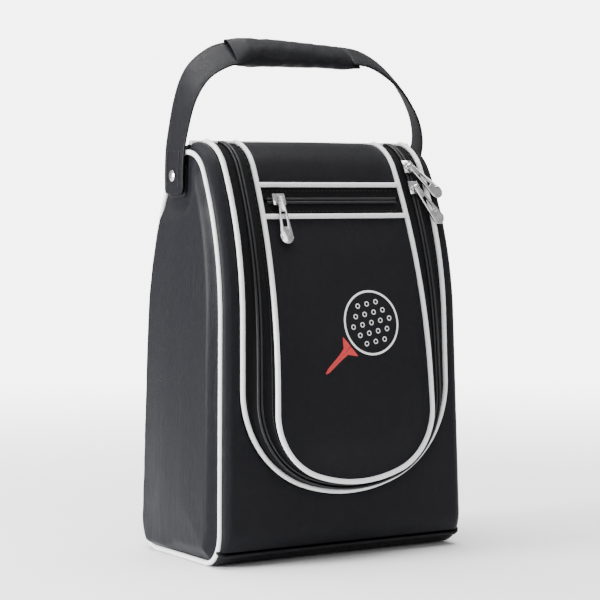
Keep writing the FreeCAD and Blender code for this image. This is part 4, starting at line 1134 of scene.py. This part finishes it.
class ShoeBagHandle(bpy.types.Operator):
    """Straps, grip and chapes.  A strap is a flat section with rounded edges and a slightly full middle,
    carried along its line; the grip is an oval roll along a shallow arch whose ends turn in."""
    bl_idname = "shoe_bag.handle"
    bl_label = "Handle"

    def execute(self, context):
        for name, side in (("left", -1), ("right", 1)):
            self.strap(name, side)
            self.chape(name, side)
        self.grip()
        return {"FINISHED"}

    def strap(self, name, side):
        """One strap with a groove along each edge, and the stitches that lie in the grooves."""
        lines = strap_frame(strap_line(side))
        run = np.maximum(run_along(lines[0]), 0.15 * MM)
        round_end = np.array([0.3, 1.0, 2.0, 3.5, 5.5, 8.0, 11.0]) * MM       # rows where the end rounds off
        dense = np.unique(np.concatenate([run, round_end]))
        spot, across, out = (read_at(dense, run, line) for line in lines)
        width = strap_width(dense)[:, None]
        turn = full_turn(40)[None, :]
        flat, thick = fuller(np.cos(turn), 0.55), fuller(np.sin(turn), 0.5)
        groove = np.exp(-((np.abs(flat) * width - (width - STITCH_MARGIN)) / (0.7 * MM)) ** 2) * 0.3 * MM
        half = (1.35 * MM + 0.35 * MM * (1 - flat ** 2) - groove) * np.minimum(1, width / (4 * MM))
        crease = 0.25 * MM * soft(dense, 0 * dense, 20 * MM, 60 + side)[:, None] * np.sin(turn)
        points = (spot[:, None] + across[:, None] * (flat * width)[..., None]
                  + out[:, None] * (thick * half + crease * 0.4)[..., None])
        first, last = (np.broadcast_to(spot[end], points[:1].shape) for end in (0, -1))
        strap = grid_piece(f"strap_{name}", np.concatenate([first, points, last]), around=True, inside=None)
        outward(weld(strap))
        finish_piece(strap, "handle", "strap_leathercloth", MATERIALS["strap"], f"handle_strap_{name}")
        inner = strap_width(dense) - STITCH_MARGIN
        keep = (dense > 3.4 * MM) & (dense < dense[-1] - 6 * MM)
        face = 1.0 * MM                                # the stitches lie this far out of the strap's middle
        left, right = (spot + across * (sign * inner)[:, None] + out * face for sign in (-1, 1))
        loop = np.vstack([left[keep][::-1], right[keep]])
        outs = np.vstack([out[keep][::-1], out[keep]])
        self.stitches(f"strap_stitches_{name}", loop, outs, radius=0.3 * MM, length=2.8 * MM)
        self.stitches(f"strap_back_stitches_{name}", loop - outs * 2 * face, -outs, radius=0.26 * MM,
                      length=2.8 * MM)
        self.box_stitch(name, spot, across, out, dense)

    def stitches(self, name, path, out, **sizes):
        """A row of stitches on the handle."""
        row = stitch_line(name, path, out, **sizes)
        finish_piece(row, "handle", "strap_leathercloth", MATERIALS["thread"])

    def box_stitch(self, name, spot, across, out, run):
        """A box of stitches round the rivet, between two distances from the end of the strap."""
        low, high, wide = 6.5 * MM, 33 * MM, 9 * MM
        corners = np.array([(-wide, low), (-wide, high), (wide, high), (wide, low), (-wide, low)])
        flat = even(corners, 160)
        spot, across, out = (read_at(flat[:, 1], run, line) for line in (spot, across, out))
        path = spot + across * flat[:, :1] + out * 1.6 * MM
        self.stitches(f"box_stitches_{name}", path, out, pitch=3.2 * MM, length=2.4 * MM, radius=0.38 * MM)

    def chape(self, name, side):
        """A patch under the strap end: a thin rounded block standing on the side panel."""
        low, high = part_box(f"handle_chape_{name}")
        turn = full_turn(64)[None, :]
        reach = np.array([0.001, 0.9, 0.985, 1.0, 0.985, 0.9, 0.001])[:, None]     # size of each section
        share = np.array([0.0, 0.0, 0.18, 0.5, 0.82, 1.0, 1.0])[:, None]           # and its place in the rise
        wide, tall = (high.y - low.y) / 2, (high.z - low.z) / 2
        flat, rise = fuller(np.cos(turn), 0.4) * reach, fuller(np.sin(turn), 0.4) * reach
        z = (low.z + high.z) / 2 + rise * tall
        x = side * (half_width(z) + share * CHAPE_RISE - CHAPE_SUNK)
        y = (low.y + high.y) / 2 + flat * wide
        piece = grid_piece(f"chape_{name}", np.stack([x, y, z], axis=-1), around=True, inside=None)
        outward(weld(piece, 1e-5))
        finish_piece(piece, "bag", "strap_leathercloth", MATERIALS["strap"], f"handle_chape_{name}")

    def grip_section(self, x, turn, size):
        """The roll at a place x: an oval whose long way leans back and up, fuller at the left end, closing
        down on the strap at both ends.  Size shrinks it for the core."""
        share = x / GRIP_HALF
        close = smooth((np.abs(x) - 43 * MM) / (15 * MM))
        long_half = (13.6 - 0.9 * share + 0.9 * close) * MM * size
        short_half = (8.2 - 1.3 * share) * MM * size * (1 - 0.62 * close)
        lean = np.radians(40 - 5 * share)
        level = GRIP_LEVEL - 1.0 * MM * share + 1.3 * MM * (1 - share ** 2)
        flat, rise = long_half * np.cos(turn), short_half * np.sin(turn)
        return flat * np.cos(lean) - rise * np.sin(lean), level, flat * np.sin(lean) + rise * np.cos(lean)

    def grip(self):
        """The roll of leathercloth over the two strap ends, its wrinkles, its sewn edge underneath and the
        padding inside it."""
        turn = full_turn(72)[None, :]
        rim = np.array([-52, -55, -56.2, -57.0, -57.3, -57.0, -56.2, -55.0]) * MM    # the end turns in
        rim_size = np.array([0.84, 0.85, 0.87, 0.91, 0.95, 0.985, 1.0, 1.0])
        middle = np.linspace(-53, 53, 110) * MM
        x = np.concatenate([rim, middle, -rim[::-1]])[:, None]
        size = np.concatenate([rim_size, np.ones(len(middle)), rim_size[::-1]])[:, None]
        flat, level, rise = self.grip_section(x, turn, size)
        underneath = 1.5 * math.pi
        seam = np.exp(-((turn - underneath) / 0.06) ** 2)
        along, round_it = np.broadcast_arrays(x, 9 * MM * turn)
        wrinkle = (0.4 * MM * soft(along, round_it, 13 * MM, 71)
                   + 0.3 * MM * soft(along * 0.3, round_it, 9 * MM, 72))
        grow = 1 + (wrinkle - 0.8 * MM * seam) * smooth((size - 0.93) / 0.07) / (10 * MM)
        points = np.stack(np.broadcast_arrays(x, STRAP_BACK + flat * grow, level + rise * grow), axis=-1)
        roll = grid_piece("grip_roll", points, around=True, inside=None)
        finish_piece(roll, "handle", "strap_leathercloth", MATERIALS["strap"], "grip_sleeve")
        x = np.array([-52, -52, -51.4, -40, -20, 0, 20, 40, 51.4, 52, 52])[:, None] * MM
        size = np.array([0.001, 0.7, 0.8, 0.8, 0.8, 0.8, 0.8, 0.8, 0.8, 0.7, 0.001])[:, None]
        flat, level, rise = self.grip_section(x, turn, size)
        points = np.stack(np.broadcast_arrays(x, STRAP_BACK + flat, level + rise), axis=-1)
        core = grid_piece("grip_core", points, around=True, inside=None)
        outward(weld(core, 1e-5))
        finish_piece(core, "handle", "foam", MATERIALS["foam"], "grip_padding")
        line = np.linspace(-47, 47, 80)[:, None] * MM
        for label, place in (("front", underneath - 0.32), ("rear", underneath + 0.32)):
            flat, level, rise = self.grip_section(line, np.array([[place]]), 1.0)
            path = np.hstack([line, STRAP_BACK + flat, level + rise])
            out = np.hstack([0 * line, flat, rise]) / np.hypot(flat, rise)
            self.stitches(f"grip_stitches_{label}", path, out, radius=0.3 * MM)


# ---------------------------------------------------------------- metal and print

def refined(node, name, body, bevel):
    """The CAD piece with its loose triangles joined into faces, rounded edges and smooth shading."""
    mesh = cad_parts[node].data.copy()
    work = bmesh.new()
    work.from_mesh(mesh)
    bmesh.ops.remove_doubles(work, verts=work.verts, dist=1e-6)
    bmesh.ops.dissolve_limit(work, angle_limit=math.radians(1.0), verts=work.verts, edges=work.edges)
    bmesh.ops.recalc_face_normals(work, faces=work.faces)
    for face in work.faces:
        face.smooth = True
    work.to_mesh(mesh)
    work.free()
    mesh.name = name
    piece = add_object(name, mesh)
    edge = piece.modifiers.new("rounded", "BEVEL")
    edge.width = bevel
    edge.segments = 2
    edge.limit_method = "ANGLE"
    edge.angle_limit = math.radians(35)
    edge.harden_normals = True
    return finish_piece(piece, body, "nickel", MATERIALS["nickel"], node)


class ShoeBagHardware(bpy.types.Operator):
    """Sliders, pulls and rivets: the CAD pieces with rounded edges and a nickel finish."""
    bl_idname = "shoe_bag.hardware"
    bl_label = "Hardware"

    def execute(self, context):
        for place in ("upper", "lower", "pocket"):
            refined(f"{place}_slider", f"{place}_slider_cast", f"{place}_slider", 0.22 * MM)
            refined(f"{place}_pull", f"{place}_pull_cast", f"{place}_pull", 0.28 * MM)
        for side, sign in (("left", -1), ("right", 1)):
            self.rivet(side, sign)
        return {"FINISHED"}

    def rivet(self, side, sign):
        """A shank, a rim and a domed head, turned about the axis of the CAD rivet.  reach is the radius at
        each rise, as a share of the head's."""
        low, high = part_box(f"rivet_{side}")
        face = high.x if sign > 0 else -low.x
        middle = (low.z + high.z) / 2
        radius = (high.z - low.z) / 2
        rise = np.array([-9.5, -2.2, -1.7, -1.25, -1.2, -1.0, -0.5, -0.18, 0.0, 0.05]) * MM
        reach = np.array([0.35, 0.36, 1.0, 1.04, 1.0, 0.9, 0.72, 0.42, 0.16, 0.0005])
        turn = full_turn(48)[None, :]
        x = sign * (face + rise[:, None]) + 0 * turn
        y = STRAP_BACK + radius * reach[:, None] * np.cos(turn)
        z = middle + radius * reach[:, None] * np.sin(turn)
        head = grid_piece(f"rivet_head_{side}", np.stack([x, y, z], axis=-1), around=True, inside=None)
        outward(weld(head, 1e-6))
        finish_piece(head, "bag", "nickel", MATERIALS["nickel"], f"rivet_{side}")


def printed(name, outline_in, outline_out, material):
    """A raised print between two closed outlines given in the motif's own plane, which is tilted and laid on
    the flap face."""
    rows = np.linspace(0, 1, 4)[:, None, None]
    flat = outline_in[None] * (1 - rows) + outline_out[None] * rows
    cos, sin = math.cos(MOTIF_TILT), math.sin(MOTIF_TILT)
    across = MOTIF_ACROSS + (flat[..., 0] * cos - flat[..., 1] * sin)
    way = float(FLAP.way_at(MOTIF_LEVEL)) - (flat[..., 0] * sin + flat[..., 1] * cos)
    height = np.array([0.06, 0.3, 0.3, 0.06])[:, None] * MM
    piece = grid_piece(name, flap_point(across, way, height), around=True)
    return finish_piece(piece, "flap", "white_piping", material)


def circle(radius, count, centre=(0.0, 0.0)):
    """A closed outline of points round a centre."""
    turn = full_turn(count)
    return np.stack([centre[0] + radius * np.cos(turn), centre[1] + radius * np.sin(turn)], axis=1)


class ShoeBagMotif(bpy.types.Operator):
    """A plain golf ball outline with a few dimples over a small tee, printed on the pocket face."""
    bl_idname = "shoe_bag.motif"
    bl_label = "Printed ball and tee"

    def execute(self, context):
        radius = context.scene.shoe_bag.ball_radius
        white = MATERIALS["motif_white"]
        printed("print_ball", circle(radius - 1.6 * MM, 96), circle(radius, 96), white)
        step, row_step = radius * 0.34, 0.866                  # rows of dimples in even triangles
        spots = [(i + 0.5 * (j % 2), j * row_step) for j in range(-2, 3) for i in range(-2, 3)]
        spots = [(a * step, b * step) for a, b in spots if math.hypot(a * step, b * step) < radius * 0.72]
        for number, spot in enumerate(spots):
            dimple = circle(DIMPLE_INNER, 16, spot), circle(DIMPLE_OUTER, 16, spot)
            printed(f"print_dimple_{number}", *dimple, white)
        top = -radius - 2.2 * MM                               # the cup of the tee, below the ball
        half = np.array([(10.0, 0.0), (7.0, -2.8), (3.0, -6.0), (2.1, -13.0), (1.5, -27.0),
                         (0.4, -31.0)]) * MM
        outline = np.vstack([half, half[::-1] * [-1, 1]]) + [0, top]
        outline = even(np.vstack([outline, outline[:1]]), 97)[:-1]
        spine = np.stack([outline[:, 0] * 0.02, outline[:, 1]], axis=1)
        printed("print_tee", spine, outline, MATERIALS["motif_red"])
        return {"FINISHED"}


# ---------------------------------------------------------------- stage

class ShoeBagStage(bpy.types.Operator):
    """Pale floor, soft lights and the camera."""
    bl_idname = "shoe_bag.stage"
    bl_label = "Stage"

    def execute(self, context):
        scene = context.scene
        self.lay_floor()
        scene.world = self.white_world()
        self.area("side_light", (-1.8, 0.25, 0.5), (0, 0, 0.18), 0.55, 95)
        self.area("top_light", (-0.2, 0.4, 2.2), (0, 0, 0.1), 2.2, 170)
        self.area("front_light", (0.9, -1.9, 0.9), (0, 0, 0.2), 0.7, 8)
        scene.camera = self.long_lens()
        return {"FINISHED"}

    def lay_floor(self):
        """A pale round floor just under the bag, which fades out with the distance from it."""
        ring = np.concatenate([[0.001], np.geomspace(0.05, 12.0, 24)])[:, None]
        turn = full_turn(96)[None, :]
        points = np.stack([ring * np.cos(turn), ring * np.sin(turn), 0 * ring * turn - 0.4 * MM], axis=-1)
        floor = grid_piece("floor", points, around=True, inside=np.array([0, 0, -1.0]))
        material, tree, shader = start_material("pale_floor", 0.55)
        coords = tree.nodes.new("ShaderNodeTexCoord").outputs["Object"]
        slow = noise(tree, coords, 3.0)
        tree.links.new(ramp(tree, slow, (0.92, 0.92, 0.925), (0.95, 0.95, 0.95)), shader.inputs["Base Color"])
        away = tree.nodes.new("ShaderNodeVectorMath")
        away.operation = "LENGTH"
        tree.links.new(coords, away.inputs[0])
        fade = tree.nodes.new("ShaderNodeMapRange")
        fade.interpolation_type = "SMOOTHSTEP"
        for label, value in (("From Min", 0.25), ("From Max", 1.6), ("To Min", 1.0), ("To Max", 0.0)):
            fade.inputs[label].default_value = value
        tree.links.new(away.outputs["Value"], fade.inputs["Value"])
        tree.links.new(fade.outputs["Result"], shader.inputs["Alpha"])
        floor.data.materials.append(material)

    def white_world(self):
        """A white world, brighter to the camera than to the bag."""
        world = bpy.data.worlds.new("studio")
        world.use_nodes = True
        back = next(node for node in world.node_tree.nodes if node.type == "BACKGROUND")
        back.inputs["Color"].default_value = (1.0, 1.0, 1.0, 1.0)
        seen = world.node_tree.nodes.new("ShaderNodeLightPath")
        glow = world.node_tree.nodes.new("ShaderNodeMapRange")
        glow.inputs["To Min"].default_value = 0.5
        glow.inputs["To Max"].default_value = 6.0
        world.node_tree.links.new(seen.outputs["Is Camera Ray"], glow.inputs["Value"])
        world.node_tree.links.new(glow.outputs["Result"], back.inputs["Strength"])
        return world

    def long_lens(self):
        """A long lens from the front left, slightly above the middle of the bag."""
        camera = bpy.data.cameras.new("camera")
        camera.lens = 124.8
        camera.sensor_width = 36
        holder = add_object("camera", camera)
        azimuth, pitch, distance = math.radians(32), math.radians(3), 1.65
        target = np.array([-0.002, 0.0, 0.196])
        offset = np.array([-math.sin(azimuth) * math.cos(pitch), -math.cos(azimuth) * math.cos(pitch),
                           math.sin(pitch)])
        self.aim(holder, target + distance * offset, target)
        return holder

    def aim(self, thing, place, target):
        """Puts a light or the camera at a place and points it at the target."""
        thing.location = place
        way = Vector(target) - Vector(place)
        thing.rotation_euler = way.to_track_quat("-Z", "Y").to_euler()

    def area(self, name, place, target, size, power):
        """An oblong area light of a given power in watts, pointed at the target."""
        light = bpy.data.lights.new(name, "AREA")
        light.shape = "RECTANGLE"
        light.size = size
        light.size_y = size * 1.4
        light.energy = power
        self.aim(add_object(name, light), place, target)


PIECES = (ShoeBagFrontSurround, ShoeBagBackAndBottom, ShoeBagSides, ShoeBagPipings, ShoeBagMainZip,
          ShoeBagFlap, ShoeBagPocketZip, ShoeBagHandle, ShoeBagHardware, ShoeBagMotif, ShoeBagStage)


class ShoeBagPanel(bpy.types.Panel):
    """Sizes, colours and pieces in the sidebar."""
    bl_idname = "VIEW3D_PT_shoe_bag"
    bl_label = "Shoe bag"
    bl_space_type = "VIEW_3D"
    bl_region_type = "UI"
    bl_category = "Shoe bag"

    def draw(self, context):
        props = context.scene.shoe_bag
        for name in ("leather_colour", "piping_colour", "side_fullness", "back_fullness", "flap_fullness",
                     "coil_pitch", "stitch_pitch", "ball_radius"):
            self.layout.prop(props, name)
        for piece in PIECES:
            self.layout.operator(piece.bl_idname)


CLASSES = (ShoeBagProperties, *PIECES, ShoeBagPanel)


def register():
    """Adds the classes, and their properties to the scene."""
    for item in CLASSES:
        bpy.utils.register_class(item)
    bpy.types.Scene.shoe_bag = bpy.props.PointerProperty(type=ShoeBagProperties)


def unregister():
    """Takes the properties and the classes away again."""
    del bpy.types.Scene.shoe_bag
    for item in reversed(CLASSES):
        bpy.utils.unregister_class(item)


def main():
    register()
    make_materials(bpy.context.scene.shoe_bag)
    for piece in PIECES:
        getattr(bpy.ops.shoe_bag, piece.bl_idname.split(".")[1])()


if __name__ == "__main__":
    main()
